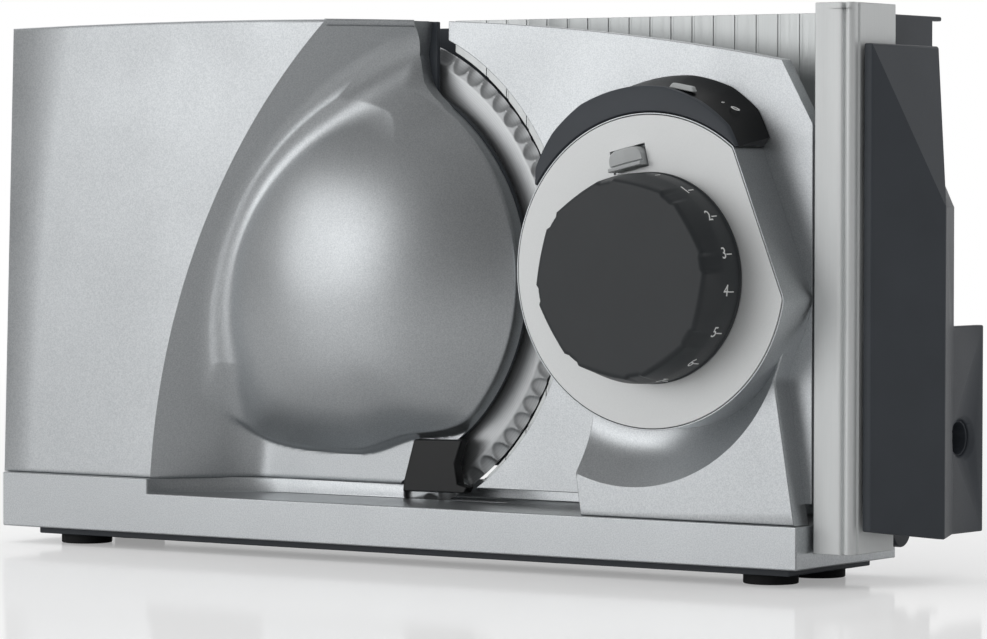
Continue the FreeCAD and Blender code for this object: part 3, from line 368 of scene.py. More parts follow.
def select_border():
    """Opens the active piece in edit mode with only its open border selected."""
    bpy.ops.object.mode_set(mode="EDIT")
    bpy.ops.mesh.select_mode(type="EDGE")
    bpy.ops.mesh.select_all(action="DESELECT")
    bpy.ops.mesh.select_non_manifold()


def face_outwards():
    """Turns all faces outwards and leaves edit mode."""
    bpy.ops.mesh.select_all(action="SELECT")
    bpy.ops.mesh.normals_make_consistent(inside=False)
    leave()


def close_ends(distance):
    """Welds the seam of a grid that was bent to a tube, and fills its two ends."""
    weld(distance)
    select_border()
    bpy.ops.mesh.edge_face_add()
    face_outwards()


def pull_back(y):
    """Extrudes the open border straight back to one depth."""
    select_border()
    bpy.ops.mesh.extrude_region_move()
    bpy.ops.transform.resize(value=(1, 0, 1), center_override=at(0, y, 0))


def extrude(x, y, z):
    """Extrudes what is selected by a number of millimetres."""
    bpy.ops.mesh.extrude_region_move(TRANSFORM_OT_translate={"value": (x * MM, y * MM, z * MM)})


def modify(piece, kind, **settings):
    """Adds a modifier and applies it."""
    only(piece)
    modifier = piece.modifiers.new(kind.lower(), kind)
    for name, value in settings.items():
        setattr(modifier, name, value)
    bpy.ops.object.modifier_apply(modifier=modifier.name)


def smooth(piece, angle=35):
    """Shades a piece smooth, apart from edges that are sharper than an angle."""
    only(piece)
    bpy.ops.object.shade_smooth_by_angle(angle=math.radians(angle))


def round_edges(piece, width, sharper_than=40):
    """Rounds every edge that is sharper than an angle, and keeps the flat faces flat to the eye."""
    smooth(piece)
    modify(piece, "BEVEL", width=width * MM, segments=3, limit_method="ANGLE",
           angle_limit=math.radians(sharper_than), use_clamp_overlap=False, harden_normals=True)


# %% [markdown]
# Many pieces have the right shape in CAD and only need soft edges, so they aren't modelled again. A CAD
# node's mesh is loose triangles, so a copy is merged, its flat faces are joined again, and its edges are
# rounded. The node stays as it is, and the copy stands in for it.

# %% Softened copies of CAD pieces
EDGE_WIDTHS = {"base_housing": 0.5, "base_pan": 0.5, "right_panel": 0.3, "stop_plate": 0.15, "dial_plate": 0.2,
               "slice_deflector": 0.6, "blade_guard": 0.4, "housing_cover": 0.4, "hand_guard": 0.5,
               "carriage_bed": 0.5, "food_carriage": 0.5, "carriage_shoes": 0.3, "bed_rails": 0.4,
               "guard_studs": 0.6, "blade_fastener": 0.3, "mains_inlet": 0.3, "hinge_pins": 0.3,
               "blade_shaft": 0.2, "thrust_tube": 0.3, "stop_slides": 0.3, "turret_screws": 0}
copies = {}
for node, width in EDGE_WIDTHS.items():
    piece = copied(node + "_skin", frame["nodes"][node].data)
    weld(0.01)
    bpy.ops.mesh.dissolve_limited(angle_limit=math.radians(0.5))
    leave()
    if width:
        round_edges(piece, width)
    else:
        smooth(piece)
    hand_over(piece, node)
    copies[node] = piece.data

# %% [markdown]
# The turret's screws come from behind. Their tips end inside the moulding, so in the copy they are kept
# behind the panel, where they can't break through the hollow of the scoop.

# %% Turret screws
SCREW_TIPS = at(0, 10.2, 0).y
for vertex in copies["turret_screws"].vertices:
    vertex.co.y = max(vertex.co.y, SCREW_TIPS)
print("screw tips end at", SCREW_TIPS)

# %% [markdown]
# The grooves of the stop plate are shallow: the ribs between them only just stand proud, so that the food
# slides over them without sticking. In the copy the grooves' floors are moved up to that small depth.

# %% Shallow grooves in the stop plate
CAD_GROOVE, GROOVE_SHARE = 0.6, 0.4
low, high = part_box("stop_plate")
for vertex in copies["stop_plate"].vertices:
    for face in (low.y, high.y):
        if abs(vertex.co.y - face) < (CAD_GROOVE + 0.05) * MM:
            vertex.co.y = face + (vertex.co.y - face) * GROOVE_SHARE
print("grooves are now", CAD_GROOVE * GROOVE_SHARE, "mm deep")

# %% [markdown]
# The dial disc is let into the drum: a thin shadow line runs round it, and the drum's rim shows outside
# that line. So the disc is drawn in a little. Its window for the lock tab is turned until it lies square
# to the knob, because the tab stands on a circle round the knob.

# %% Dial disc
DISC_X, DISC_Z, DRUM_RADIUS, DISC_RADIUS, DISC_RIM_FROM = 277.8, 94.3, 51.0, 50.3, 44
TAB_X, TAB_Z, TAB_TURN, TAB_NARROWER = 270.35, 130.45, math.radians(13), 0.86
tab_across, tab_up = directions(TAB_TURN)
low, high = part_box("lock_tab")
for vertex in copies["dial_plate"].vertices:
    arm = vertex.co - at(DISC_X, 0, DISC_Z)
    if math.hypot(arm.x, arm.z) > DISC_RIM_FROM * MM:
        vertex.co.x -= arm.x * (1 - DISC_RADIUS / DRUM_RADIUS)
        vertex.co.z -= arm.z * (1 - DISC_RADIUS / DRUM_RADIUS)
    elif low.x - MM < vertex.co.x < high.x + MM and low.z - MM < vertex.co.z < high.z + MM:
        arm = vertex.co - at(TAB_X, 0, TAB_Z)
        turned = at(TAB_X, 0, TAB_Z) + tab_across * arm.x * TAB_NARROWER + tab_up * arm.z
        vertex.co.x, vertex.co.z = turned.x, turned.z
print("disc radius", DISC_RADIUS)

# %% [markdown]
# Several pieces are shells whose shape changes from place to place. Pushing their vertices by hand would
# be slow and uneven, so each starts as a grid primitive, and every vertex is put at a measured place.

# %% Helpers for shaped grids


def shaped_grid(name, rows):
    """A grid primitive whose vertices are put at rows of places, given in millimetres."""
    across, up = len(rows[0]) - 1, len(rows) - 1
    piece = added(name, bpy.ops.mesh.primitive_grid_add, x_subdivisions=across, y_subdivisions=up, size=2)
    for vertex in piece.data.vertices:
        column = round((vertex.co.x + 1) / 2 * across)
        row = round((vertex.co.y + 1) / 2 * up)
        vertex.co = at(*rows[row][column])
    return piece


def along(value, table):
    """Reads a value from a table of (place, value) pairs, in a straight line between them."""
    for (low, first), (high, last) in zip(table, table[1:]):
        if value <= high:
            return first + (last - first) * max(0, value - low) / (high - low)
    return table[-1][1]


def on_circle(x, z, radius, turn, y):
    """A place on a circle round an axis that runs from front to back."""
    return x + radius * math.cos(turn), y, z + radius * math.sin(turn)


# %% [markdown]
# The blade is a shallow steel dish. Half-moon hollows are ground into the front of its rim, widest at the
# edge, so that bright pointed teeth of full thickness stand between them; slices stick less to such an
# edge. Cutting them one by one would be slow, and a grid bent round the axis gives every hollow the same
# sixteen columns.

# %% Blade
HOLLOWS, COLUMNS_EACH, HOLLOW_DEPTH, HOLLOW_REACH, HOLLOW_HALF = 76, 16, 0.75, 4.4, 3.2
FRONT_OF_BLADE = ((5, 34.8), (26, 34.8), (30, 35.5), (80, 35.9), (85, 37.1))
BACK_OF_BLADE = ((5, 38), (26, 38), (30, 36.5), (76, 36.7), (85, 38))
GROUND_FROM, GROUND_STEP, EDGE_THICKNESS = 80.4, 0.38, 0.06


def ground_depth(radius, turn):
    """Depth of the half-moon hollow at a place on the blade's front."""
    aside = (turn * HOLLOWS / math.tau % 1 - 0.5) * math.tau * radius / HOLLOWS / HOLLOW_HALF
    inward = (BLADE_RADIUS - radius) / HOLLOW_REACH
    return HOLLOW_DEPTH * math.sqrt(max(0, 1 - aside ** 2 - inward ** 2))


def blade_front(radius, turn):
    """Depth of the ground front, which always leaves the edge its small thickness."""
    return min(along(radius, FRONT_OF_BLADE) + ground_depth(radius, turn),
               along(radius, BACK_OF_BLADE) - EDGE_THICKNESS)


turns = [math.tau * step / (HOLLOWS * COLUMNS_EACH) for step in range(HOLLOWS * COLUMNS_EACH + 1)]
stations = [5, 25.6, 26, 30, 50, 79.4, 80] + [GROUND_FROM + step * GROUND_STEP for step in range(12)] + [85]
rows = [[on_circle(BLADE_X, BLADE_Z, radius, turn, blade_front(radius, turn)) for turn in turns]
        for radius in stations]
for radius, y in (*reversed(BACK_OF_BLADE), FRONT_OF_BLADE[0]):
    rows.append([on_circle(BLADE_X, BLADE_Z, radius, turn, y) for turn in turns])
blade = shaped_grid("blade_ground", rows)
weld(0.005)
face_outwards()
smooth(blade, 25)
hand_over(blade, "blade")

# %% [markdown]
# The motor housing is the piece that the eye goes to: a flat front that ends in a long curved edge, a
# hollow slope behind that edge, and a dome that swells out of the slope over the blade's gear. A grid is
# the right start, because its columns can follow the curved edge and its rows can crowd at the rim.
# Three simple surfaces are written as depths and blended, so that they run into each other like clay.
# The hollow between slope and dome is wide at the upper left and narrow at the foot and at the rim.

# %% Depths of the housing's surface
FLAT, VALLEY = 2.0, 30.6
SAIL_X, SAIL_Z, SAIL_RADIUS, SAIL_SLOPE = 303.9, 2.7, 239.0, 1.2
DOME_X, DOME_Z, BALL, BALL_Y, BALL_END = 134.0, 91.0, 120.38, 124.38, 110
RIM, RIM_ROUND, RIM_Y, RIM_SLOPE, TOUCH = 70.0, 3.0, 28.0, 4, 68.71
DOME_FOOT, FOOT_BLEND, CLIP_RISE, CLIP_FROM, CLIP_RUN = 61.0, 12, 6.4, 2, 32
CRISP, SOFT, LEAST_HOLLOW, HOLLOW_GROWTH = 8.0, 21.0, 0.5, 1.15
CREASE_MOST, CREASE_GROWTH = 3, 0.1


def blended(first, second, reach):
    """The smaller of two depths, with a hollow of that reach where they meet."""
    share = max(reach - abs(first - second), 0) / reach
    return min(first, second) - share * share * reach / 4


def eased(share):
    """Runs softly from 0 to 1."""
    share = min(1, max(0, share))
    return share * share * (3 - 2 * share)


def upper_left(aside, up):
    """1 above and to the left of the dome's middle, 0 at its right and its foot."""
    degrees = math.degrees(math.atan2(up, aside)) % 360
    return eased((degrees - 48) / 22) * eased((232 - degrees) / 26)


def dome_depth(x, z):
    """Depth of the dome: a shallow ball whose rim turns back, and which ends early at its foot."""
    aside, up = x - DOME_X, z - DOME_Z
    distance = math.hypot(aside, up)
    if distance < 1e-6:
        return BALL_Y - BALL
    reach, fall = RIM, -up / distance
    if fall > 0:
        rise = CLIP_RISE * eased((RIM * aside / distance - CLIP_FROM) / CLIP_RUN)
        reach = min(RIM, blended(RIM, (DOME_FOOT - rise) / fall, FOOT_BLEND))
    distance += (RIM - reach) * (distance / reach) ** 4
    ball = BALL_Y - math.sqrt(BALL ** 2 - min(distance, BALL_END) ** 2)
    if distance < TOUCH:
        return ball
    edge = RIM_Y + RIM_SLOPE * (distance - RIM)
    if distance < RIM:
        edge = RIM_Y - math.sqrt(RIM_ROUND ** 2 - (distance - RIM + RIM_ROUND) ** 2)
    upper = upper_left(aside, up)
    return ball * upper + edge * (1 - upper)


def housing_depth(x, z):
    """Depth of flat front, slope and dome together."""
    past_edge = SAIL_RADIUS - math.hypot(x - SAIL_X, z - SAIL_Z)
    floor = blended(FLAT + SAIL_SLOPE * past_edge, VALLEY, CRISP)
    dome = dome_depth(x, z)
    wide = CRISP + (SOFT - CRISP) * upper_left(x - DOME_X, z - DOME_Z)
    hollow = min(wide, max(LEAST_HOLLOW, HOLLOW_GROWTH * (min(floor, dome) - FLAT)))
    crease = min(CREASE_MOST, max(0.01, CREASE_GROWTH * past_edge))
    return -blended(-FLAT, -blended(floor, dome, hollow), crease)


print("dome's foremost depth", housing_depth(DOME_X, DOME_Z))

# %% [markdown]
# The left columns stand on the flat front, and the others run from the curved edge to the right outline,
# closer together where the rim turns back. A few extra rows and columns beside the outline carry its
# small rounding. The border is pulled back to the cover, and Solidify gives the wall its thickness.

# %% Motor housing
CROWN, SHELL_FOOT, SHELL_BACK, SHELL_WALL, CLIP_TOP, RIM_TOP = 178.2, 19.2, 31.5, 2.2, 27, 148
LEFT_FOOT, LEFT_LEAN, CROWN_X, CROWN_REACH, CROWN_FALL = -1.3, 4.6, 95, 91.7, 1.3
RIGHT_FOOT = ((SHELL_FOOT, 152), (CLIP_TOP, 162.4))
RIGHT_TOP = ((RIM_TOP, 174.6), (150.7, 171.6), (152.5, 169.4), (154.9, 167.1), (157.5, 165.4), (160.8, 164.4),
             (166.7, 163.5), (CROWN, 165))
FLAT_COLUMNS, COLUMNS, CROWDED, ROWS, EDGE_STEPS = 5, 120, 0.65, 300, (0, 0.08, 0.3, 0.8)
height = CROWN - SHELL_FOOT


def rounding(distance, radius=0.8):
    """How far a rounded edge drops back at a distance from the outline."""
    return radius - math.sqrt(radius ** 2 - (radius - min(radius, max(0, distance))) ** 2)


def housing_right(z):
    """The right outline: a slant, the dome's rim, and a neck up to the crown."""
    if z < CLIP_TOP:
        return along(z, RIGHT_FOOT)
    if z < RIM_TOP:
        return DOME_X + math.sqrt(RIM ** 2 - (z - DOME_Z) ** 2)
    return along(z, RIGHT_TOP)


def housing_columns(z):
    """The places of one row's vertices from left to right."""
    left, right = LEFT_FOOT + LEFT_LEAN * (z - SHELL_FOOT) / height, housing_right(z)
    crease = SAIL_X - math.sqrt(SAIL_RADIUS ** 2 - (z - SAIL_Z) ** 2)
    places = [left + step for step in EDGE_STEPS]
    places += [left + (crease - left) * step / FLAT_COLUMNS for step in range(1, FLAT_COLUMNS + 1)]
    for step in range(1, COLUMNS + 1):
        share = step / COLUMNS
        crowded = (1 - CROWDED) * share + CROWDED * math.sin(share * math.pi / 2)
        places.append(crease + (right - crease) * crowded)
    return places


levels = [step / height for step in EDGE_STEPS] + [(row + 3) / (ROWS + 5) for row in range(ROWS)]
levels += [1 - step / height for step in reversed(EDGE_STEPS)]
rows = []
for share in levels:
    z, row = SHELL_FOOT + height * share, []
    places = housing_columns(z)
    for x in places:
        top = CROWN - CROWN_FALL * ((x - CROWN_X) / CROWN_REACH) ** 2
        lowered = SHELL_FOOT + (top - SHELL_FOOT) * share
        inside = min(x - places[0], lowered - SHELL_FOOT, top - lowered)
        row.append((x, housing_depth(x, z) + rounding(inside), lowered))
    rows.append(row)
housing = shaped_grid("motor_housing_shell", rows)
pull_back(SHELL_BACK)
face_outwards()
middle = min(housing.data.polygons, key=lambda face: (face.center - at(30, 2, 100)).length)
if middle.normal.y > 0:
    housing.data.flip_normals()
modify(housing, "SOLIDIFY", thickness=SHELL_WALL * MM, offset=-1)
smooth(housing, 30)
hand_over(housing, "motor_housing")

# %% [markdown]
# The turret carries the dial. Its drum is a round wall with one side cut straight, and its foot comes
# down to the front of the base. A crescent hollow is scooped out of the foot round the drum, with a crisp
# outer edge where the scoop ends. A cut would leave that edge ragged, so the foot is a fan of rows that
# run outwards from the drum, and one row can lie exactly on the edge.

# %% Turret foot
PANEL_FACE, FOOT_FACE, FOOT_BACK = 9.5, 1.0, 9.8
SCOOP_X, SCOOP_Z, SCOOP_RADIUS, SCOOP_DEPTH, SCOOP_RUN = 264.5, 82.7, 58.6, 8.1, 17.6
FOOT_OUTLINE = ((243, 71), (245, 46.6), (243.6, 27.9), (245.6, 14.1), (326.6, 14.1), (319.2, 60.3), (327.3, 85))
FOOT_STEPS, SCOOP_STEPS, SLOPE_STEPS = (10, 10, 8, 44, 24, 12), 20, 8


def foot_depth(x, z):
    """Depth of the foot's front, with its scoop."""
    inward = SCOOP_RADIUS - math.hypot(x - SCOOP_X, z - SCOOP_Z)
    return FOOT_FACE + SCOOP_DEPTH * math.sin(math.pi / 2 * min(1, max(0, inward) / SCOOP_RUN))


def foot_row(x, z):
    """One row of the fan, from inside the drum's wall to a place on the outline."""
    aside, up = x - DISC_X, z - DISC_Z
    length = math.hypot(aside, up)
    aside, up = aside / length, up / length
    inner = min(DRUM_RADIUS - 2, length - 1)
    toward = aside * (DISC_X - SCOOP_X) + up * (DISC_Z - SCOOP_Z)
    offset = (DISC_X - SCOOP_X) ** 2 + (DISC_Z - SCOOP_Z) ** 2 - SCOOP_RADIUS ** 2
    edge = min(max(math.sqrt(toward ** 2 - offset) - toward, inner + 0.05), length - 0.9)
    reaches = [inner + (edge - inner) * step / SCOOP_STEPS for step in range(SCOOP_STEPS)]
    reaches += [edge + (length - 0.8 - edge) * step / SLOPE_STEPS for step in range(SLOPE_STEPS)]
    reaches += [length - step for step in reversed(EDGE_STEPS)]
    return [(DISC_X + aside * reach, foot_depth(DISC_X + aside * reach, DISC_Z + up * reach)
             + rounding(length - reach), DISC_Z + up * reach) for reach in reaches]


rim = [(first[0] + (last[0] - first[0]) * step / steps, first[1] + (last[1] - first[1]) * step / steps)
       for first, last, steps in zip(FOOT_OUTLINE, FOOT_OUTLINE[1:], FOOT_STEPS) for step in range(steps)]
foot = shaped_grid("turret_foot", [foot_row(x, z) for x, z in rim + [FOOT_OUTLINE[-1]]])
pull_back(FOOT_BACK)
bpy.ops.mesh.edge_face_add()
face_outwards()
smooth(foot, 30)
print(foot.name, len(foot.data.polygons), "faces")

# %% [markdown]
# The drum starts as a cylinder that lies on its side. Its vertices beyond the straight side are drawn back
# onto that side. An inset leaves a thin rim, and the space within it, where the disc lies, is pushed back.
# The large faces in front and behind are then opened and joined, because the thrust tube moves in the drum.
# The foot and the drum are one moulding, so they are joined.

# %% Turret drum
DRUM_FRONT, RIM_WIDTH, RIM_DEPTH, DRUM_WALL = -8.3, 0.45, 5.5, 2.2
CUT_TOP, CUT_FOOT, LARGE_FACE = (309.1, 135.1), (328.2, 86.4), (80 * MM) ** 2
drum = added("dial_turret_moulding", bpy.ops.mesh.primitive_cylinder_add, vertices=180,
             radius=DRUM_RADIUS * MM, depth=(PANEL_FACE - DRUM_FRONT) * MM,
             location=at(DISC_X, (PANEL_FACE + DRUM_FRONT) / 2, DISC_Z), rotation=(math.pi / 2, 0, 0))
bpy.ops.object.transform_apply()
cut_normal = Vector((CUT_TOP[1] - CUT_FOOT[1], 0, CUT_FOOT[0] - CUT_TOP[0])).normalized()
for vertex in drum.data.vertices:
    beyond = (vertex.co - at(CUT_TOP[0], 0, CUT_TOP[1])).dot(cut_normal)
    vertex.co -= max(0, beyond) * cut_normal
pick_faces(drum, lambda face: face.normal.y < -0.9)
bpy.ops.mesh.inset(thickness=RIM_WIDTH * MM)
extrude(0, RIM_DEPTH, 0)
leave()
pick_faces(drum, lambda face: face.normal.y > 0.9)
bpy.ops.mesh.inset(thickness=DRUM_WALL * MM)
leave()
pick_faces(drum, lambda face: abs(face.normal.y) > 0.9 and face.area > LARGE_FACE)
bpy.ops.mesh.delete(type="FACE")
select_border()
bpy.ops.mesh.bridge_edge_loops()
leave()
round_edges(drum, 0.15)
only(drum)
foot.select_set(True)
bpy.ops.object.join()
smooth(drum, 30)
hand_over(drum, "dial_turret")

# %% [markdown]
# The knob is one hollow moulding. Its skirt is round where it meets the disc, and its front is an octagon
# with a small notch at each corner for the fingers. A bevelled octagon could not run into the round
# skirt, so each ring of a grid is one depth: the rings start round and turn into the octagon on the way.

# %% Knob
KNOB_X, KNOB_Z, KNOB_BACK, KNOB_FRONT = 279.0, 92.3, -9.0, -28.0
SKIRT_RADIUS, SKIRT_TAPER, OCTAGON_FROM, OCTAGON_POWER = 34.0, 0.9, 0.5, 1.3
APOTHEM, CORNER_MOST, SIDE_SWELL, CORNER_TURN, HALF_SIDE = 30.4, 2.1, 0.6, math.radians(100), math.pi / 8
NOTCH_HALF, NOTCH_DEPTH = math.radians(5.5), 1.35
KNOB_RINGS = [(0.0, -2.4), (0.0, 0.0), (0.03, 0.0), (0.05, -0.35), (0.09, -0.35), (0.2, 0), (0.4, 0), (0.5, 0)]
KNOB_RINGS += [(0.5 + 0.05 * step, 0) for step in range(1, 9)]
KNOB_RINGS += [(0.935, -0.03), (0.965, -0.12), (0.99, -0.45), (1.0, -1.0), (1.0, -1.6)]


def octagon_radius(angle):
    """Radius of the knob's front edge: eight nearly flat sides with a notch at each corner."""
    turn = (angle - CORNER_TURN + HALF_SIDE) % (2 * HALF_SIDE) - HALF_SIDE
    side = min(APOTHEM / math.cos(HALF_SIDE - abs(turn)), APOTHEM + CORNER_MOST)
    side += SIDE_SWELL * math.cos(4 * (HALF_SIDE - abs(turn)))
    return side - NOTCH_DEPTH * max(0, 1 - (turn / NOTCH_HALF) ** 4)


def knob_radius(angle, share):
    """Radius at a share of the way from the skirt to the front edge."""
    cone = SKIRT_RADIUS - SKIRT_TAPER * share
    into = min(1, max(0, (share - OCTAGON_FROM) / (1 - OCTAGON_FROM)))
    return cone + (octagon_radius(angle) - cone) * into ** OCTAGON_POWER


rows = []
for share, inset in KNOB_RINGS:
    y = KNOB_BACK + (KNOB_FRONT - KNOB_BACK) * share
    rows.append([on_circle(KNOB_X, KNOB_Z, knob_radius(turn, share) + inset, turn, y)
                 for turn in (math.radians(degrees) for degrees in range(361))])
knob = shaped_grid("knob_moulding", rows)
close_ends(0.005)
smooth(knob)
hand_over(knob, "knob")

# %% [markdown]
# The slice scale is pad printed in white on the knob's skirt: a number and a tick towards the rim. Each
# number is a text object with a paper-thin body. It is made a mesh, turned so that it lies on the cone,
# and joined with the others into one print that turns with the knob.

# %% Numbers on the knob
NUMBER_TURNS = (78.4, 57, 36.7, 14.3, -6, -29.7, -51.8, -73.8)
PRINT_SHARE, PRINT_HEIGHT, PRINT_LIFT, CONE_LEAN = 0.38, 5.3, 0.05, 0.09


def printed(name, words, height, half_thickness, fineness):
    """Thin text as a mesh that lies flat with its middle at the origin."""
    mark = added(name, bpy.ops.object.text_add)
    mark.data.body, mark.data.size = words, height * MM
    mark.data.align_x, mark.data.align_y = "CENTER", "CENTER"
    mark.data.extrude, mark.data.resolution_u = half_thickness * MM, fineness
    bpy.ops.object.convert(target="MESH")
    return bpy.context.object


marks = []
for number, degrees in enumerate(NUMBER_TURNS):
    turn = math.radians(degrees)
    mark = printed("knob_numbers", f"{number or ''}\u2013", PRINT_HEIGHT, 0.1, 3)
    outward, upward = directions(turn)
    backward = (Vector((0, 1, 0)) + CONE_LEAN * outward).normalized()
    radius = knob_radius(turn, PRINT_SHARE) + PRINT_LIFT
    spot = at(KNOB_X, KNOB_BACK + (KNOB_FRONT - KNOB_BACK) * PRINT_SHARE, KNOB_Z) + outward * radius * MM
    mark.data.transform(Matrix.Translation(spot) @ turned_to(backward, upward, backward.cross(upward)))
    marks.append(mark)
only(marks[0])
for mark in marks:
    mark.select_set(True)
bpy.ops.object.join()
dress(marks[0], print_white, "dial")

# %% [markdown]
# The power switch is a crescent that lies over the disc. It is widest near the top and thins out towards
# its left tip. A grey plate forms its front, and behind it a darker skirt leans outwards to the panel.
# A spun profile would have one width, so both are made from a row of sections along the arc, each section
# a short list of radius and depth.

# %% Power switch
CRESCENT_FROM, CRESCENT_SWEEP, CRESCENT_STEPS = 51.3, 96.2, 96
CRESCENT_EDGE = ((51.3, 51.7), (57.8, 55), (71, 57.6), (85, 59.6), (98, 59.9), (116.5, 60), (130, 58.3),
                 (143, 55.2), (147.5, 52.2))
CRESCENT_BACK = ((51.3, 55), (60, 60), (71, 62.6), (85, 63.4), (105, 62.6), (120, 61), (135, 57.5), (147.5, 52.4))
INNER, PLATE_FRONT, PLATE_BACK, CONE_BACK = 51.35, -8.5, -6.6, 9.2


def crescent_piece(name, finish, corners_at):
    """A row of closed sections along the arc. Each section is a list of (radius, depth) corners."""
    rows = []
    for step in range(CRESCENT_STEPS + 1):
        degrees = CRESCENT_FROM + CRESCENT_SWEEP * step / CRESCENT_STEPS
        corners = corners_at(along(degrees, CRESCENT_EDGE), along(degrees, CRESCENT_BACK))
        rows.append([on_circle(DISC_X, DISC_Z, radius, math.radians(degrees), y) for radius, y in corners])
    piece = shaped_grid(name, rows)
    close_ends(0.001)
    smooth(piece, 40)
    hand_over(piece, "power_switch", finish)


def plate_section(front, back):
    """The plate: flat in front, with a softly rounded outer edge."""
    soft = min(0.9, (front - INNER) * 0.45)
    return ((INNER, PLATE_BACK), (INNER, PLATE_FRONT + 0.4), (INNER + 0.4 * soft, PLATE_FRONT),
            (front - soft, PLATE_FRONT), (front - 0.3 * soft, PLATE_FRONT + 0.3 * soft),
            (front, PLATE_FRONT + soft), (front, PLATE_BACK), (INNER, PLATE_BACK))


def cone_section(front, back):
    """The skirt behind the plate, which leans outwards."""
    start = front - min(0.5, (front - INNER) * 0.5)
    return ((INNER, CONE_BACK), (INNER, PLATE_BACK), (start, PLATE_BACK), ((start + back) / 2, 1.2),
            (back, CONE_BACK), (INNER, CONE_BACK))


crescent_piece("power_switch_plate", grey_abs, plate_section)
crescent_piece("power_switch_cone", black_nylon, cone_section)

# %% [markdown]
# On the crescent's outside sits a small light bar, which the finger feels, and beside it the marks for
# on and off. The bar is a cube that is bevelled to a rounded wedge; the marks are thin text.

# %% Bar and marks on the switch
BAR_SIZE, BAR_TURN, BAR_Y, BAR_LIFT = (9.5, 3.0, 1.8), 80.0, -4.4, 0.3
MARK_TURN, MARK_Y, MARK_LIFT, MARK_HEIGHT = 64.5, 0.5, 0.06, 4.2
SLANT_FROM, SLANT_RUN = -7.5, 16.7


def on_crescent(degrees, y, lift):
    """A frame on the crescent's outside: x runs clockwise along the arc, y to the back, z outwards."""
    outward, onward = directions(math.radians(degrees))
    share = (y - SLANT_FROM) / SLANT_RUN
    radius = along(degrees, CRESCENT_EDGE) * (1 - share) + along(degrees, CRESCENT_BACK) * share + lift
    place = Matrix.Translation(at(DISC_X, y, DISC_Z) + outward * radius * MM)
    return place @ turned_to(-onward, -outward.cross(onward), outward)


bar = added("switch_bar", bpy.ops.mesh.primitive_cube_add, size=1)
bar.scale = [side * MM for side in BAR_SIZE]
bpy.ops.object.transform_apply()
for vertex in bar.data.vertices:
    if vertex.co.z > 0:
        vertex.co.x *= 0.8
        vertex.co.y *= 0.7
round_edges(bar, 0.5)
bar.data.transform(on_crescent(BAR_TURN, BAR_Y, BAR_LIFT))
dress(bar, light_abs, "switch")
symbols = printed("switch_marks", "I  O", MARK_HEIGHT, 0.12, 12)
symbols.data.transform(on_crescent(MARK_TURN, MARK_Y, MARK_LIFT))
dress(symbols, print_white, "switch")

# %% [markdown]
# The lock tab is a small light block over the knob, turned to stand square to it. Its upper corners are
# round, its front has a crease down the middle, and a rib along its lower edge gives the finger a hold.
# A bevelled cube has neither crease nor rib, so the tab is a row of sections, each a list of heights and
# depths.

# %% Lock tab
TAB_HALF, TAB_TOP, TAB_CORNER, TAB_BACK, TAB_STEPS = 6.2, 3.3, 3.0, -5.0, 24
TAB_FACE, TAB_CREASE = -11.1, 0.9


def tab_section(aside):
    """The corners of the section at a distance from the tab's middle."""
    past = max(0, abs(aside) - (TAB_HALF - TAB_CORNER))
    top = TAB_TOP - TAB_CORNER + math.sqrt(TAB_CORNER ** 2 - past ** 2)
    face = TAB_FACE - TAB_CREASE * (1 - abs(aside) / TAB_HALF)
    return ((top, TAB_BACK), (top, face + 0.7), (top - 0.25, face + 0.2), (top - 0.8, face), (-1.3, face + 0.1),
            (-1.5, face + 1.0), (-1.9, face + 1.0), (-2.0, -12.4), (-2.25, -12.6), (-3.0, -12.6),
            (-3.25, -12.3), (-3.25, TAB_BACK), (top, TAB_BACK))


rows = []
for step in range(TAB_STEPS + 1):
    aside = TAB_HALF * math.sin(math.pi / 2 * (2 * step / TAB_STEPS - 1))
    rows.append([(TAB_X + aside * tab_across.x + up * tab_up.x, y, TAB_Z + aside * tab_across.z + up * tab_up.z)
                 for up, y in tab_section(aside)])
tab = shaped_grid("lock_tab_block", rows)
close_ends(0.001)
smooth(tab, 30)
hand_over(tab, "lock_tab")

# %% [markdown]
# The end profile is an aluminium extrusion: one outline along its whole length. Its front is slightly
# hollow, and a groove parts it from a round bead at the corner. A circle primitive gets one vertex for
# each corner of the outline, and is then extruded upwards, as the metal was pushed through its die.

# %% End profile
LEFT, RIGHT, FRONT, BACK, FOOT, TOP, WALL = 329.0, 343.0, 8.5, 36.0, 5.0, 180.0, 2.0
HOLLOW_STEPS, FRONT_HOLLOW, BEAD, BEAD_STEPS = 8, 0.15, 1.7, 10
outline = [(LEFT, BACK), (LEFT, FRONT + 0.5), (LEFT + 0.5, FRONT)]
outline += [(LEFT + 1.5 + step, FRONT + FRONT_HOLLOW * math.sin(math.pi * step / HOLLOW_STEPS))
            for step in range(HOLLOW_STEPS + 1)]
outline += [(RIGHT - 3.9, FRONT + 0.2), (RIGHT - 3.8, FRONT + 1.4)]
for step in range(BEAD_STEPS + 1):
    turn = math.radians(192 + 168 * step / BEAD_STEPS)
    outline.append((RIGHT - BEAD + BEAD * math.cos(turn), FRONT + BEAD + BEAD * math.sin(turn)))
outline += [(RIGHT - 0.1, FRONT + 3.2), (RIGHT - 0.6, FRONT + 3.6), (RIGHT - 0.6, FRONT + 4.2),
            (RIGHT, FRONT + 4.7), (RIGHT, BACK)]
profile = added("end_profile_extrusion", bpy.ops.mesh.primitive_circle_add, vertices=len(outline), radius=1,
                fill_type="NGON")
for vertex, (x, y) in zip(profile.data.vertices, outline):
    vertex.co = at(x, y, FOOT)
bpy.ops.object.mode_set(mode="EDIT")
bpy.ops.mesh.select_all(action="SELECT")
extrude(0, 0, TOP - FOOT)
face_outwards()
pick_faces(profile, lambda face: face.center.z < at(0, 0, FOOT + 1).z)
bpy.ops.mesh.inset(thickness=WALL * MM)
extrude(0, 0, TOP - FOOT - WALL)
face_outwards()
round_edges(profile, 0.3, 60)
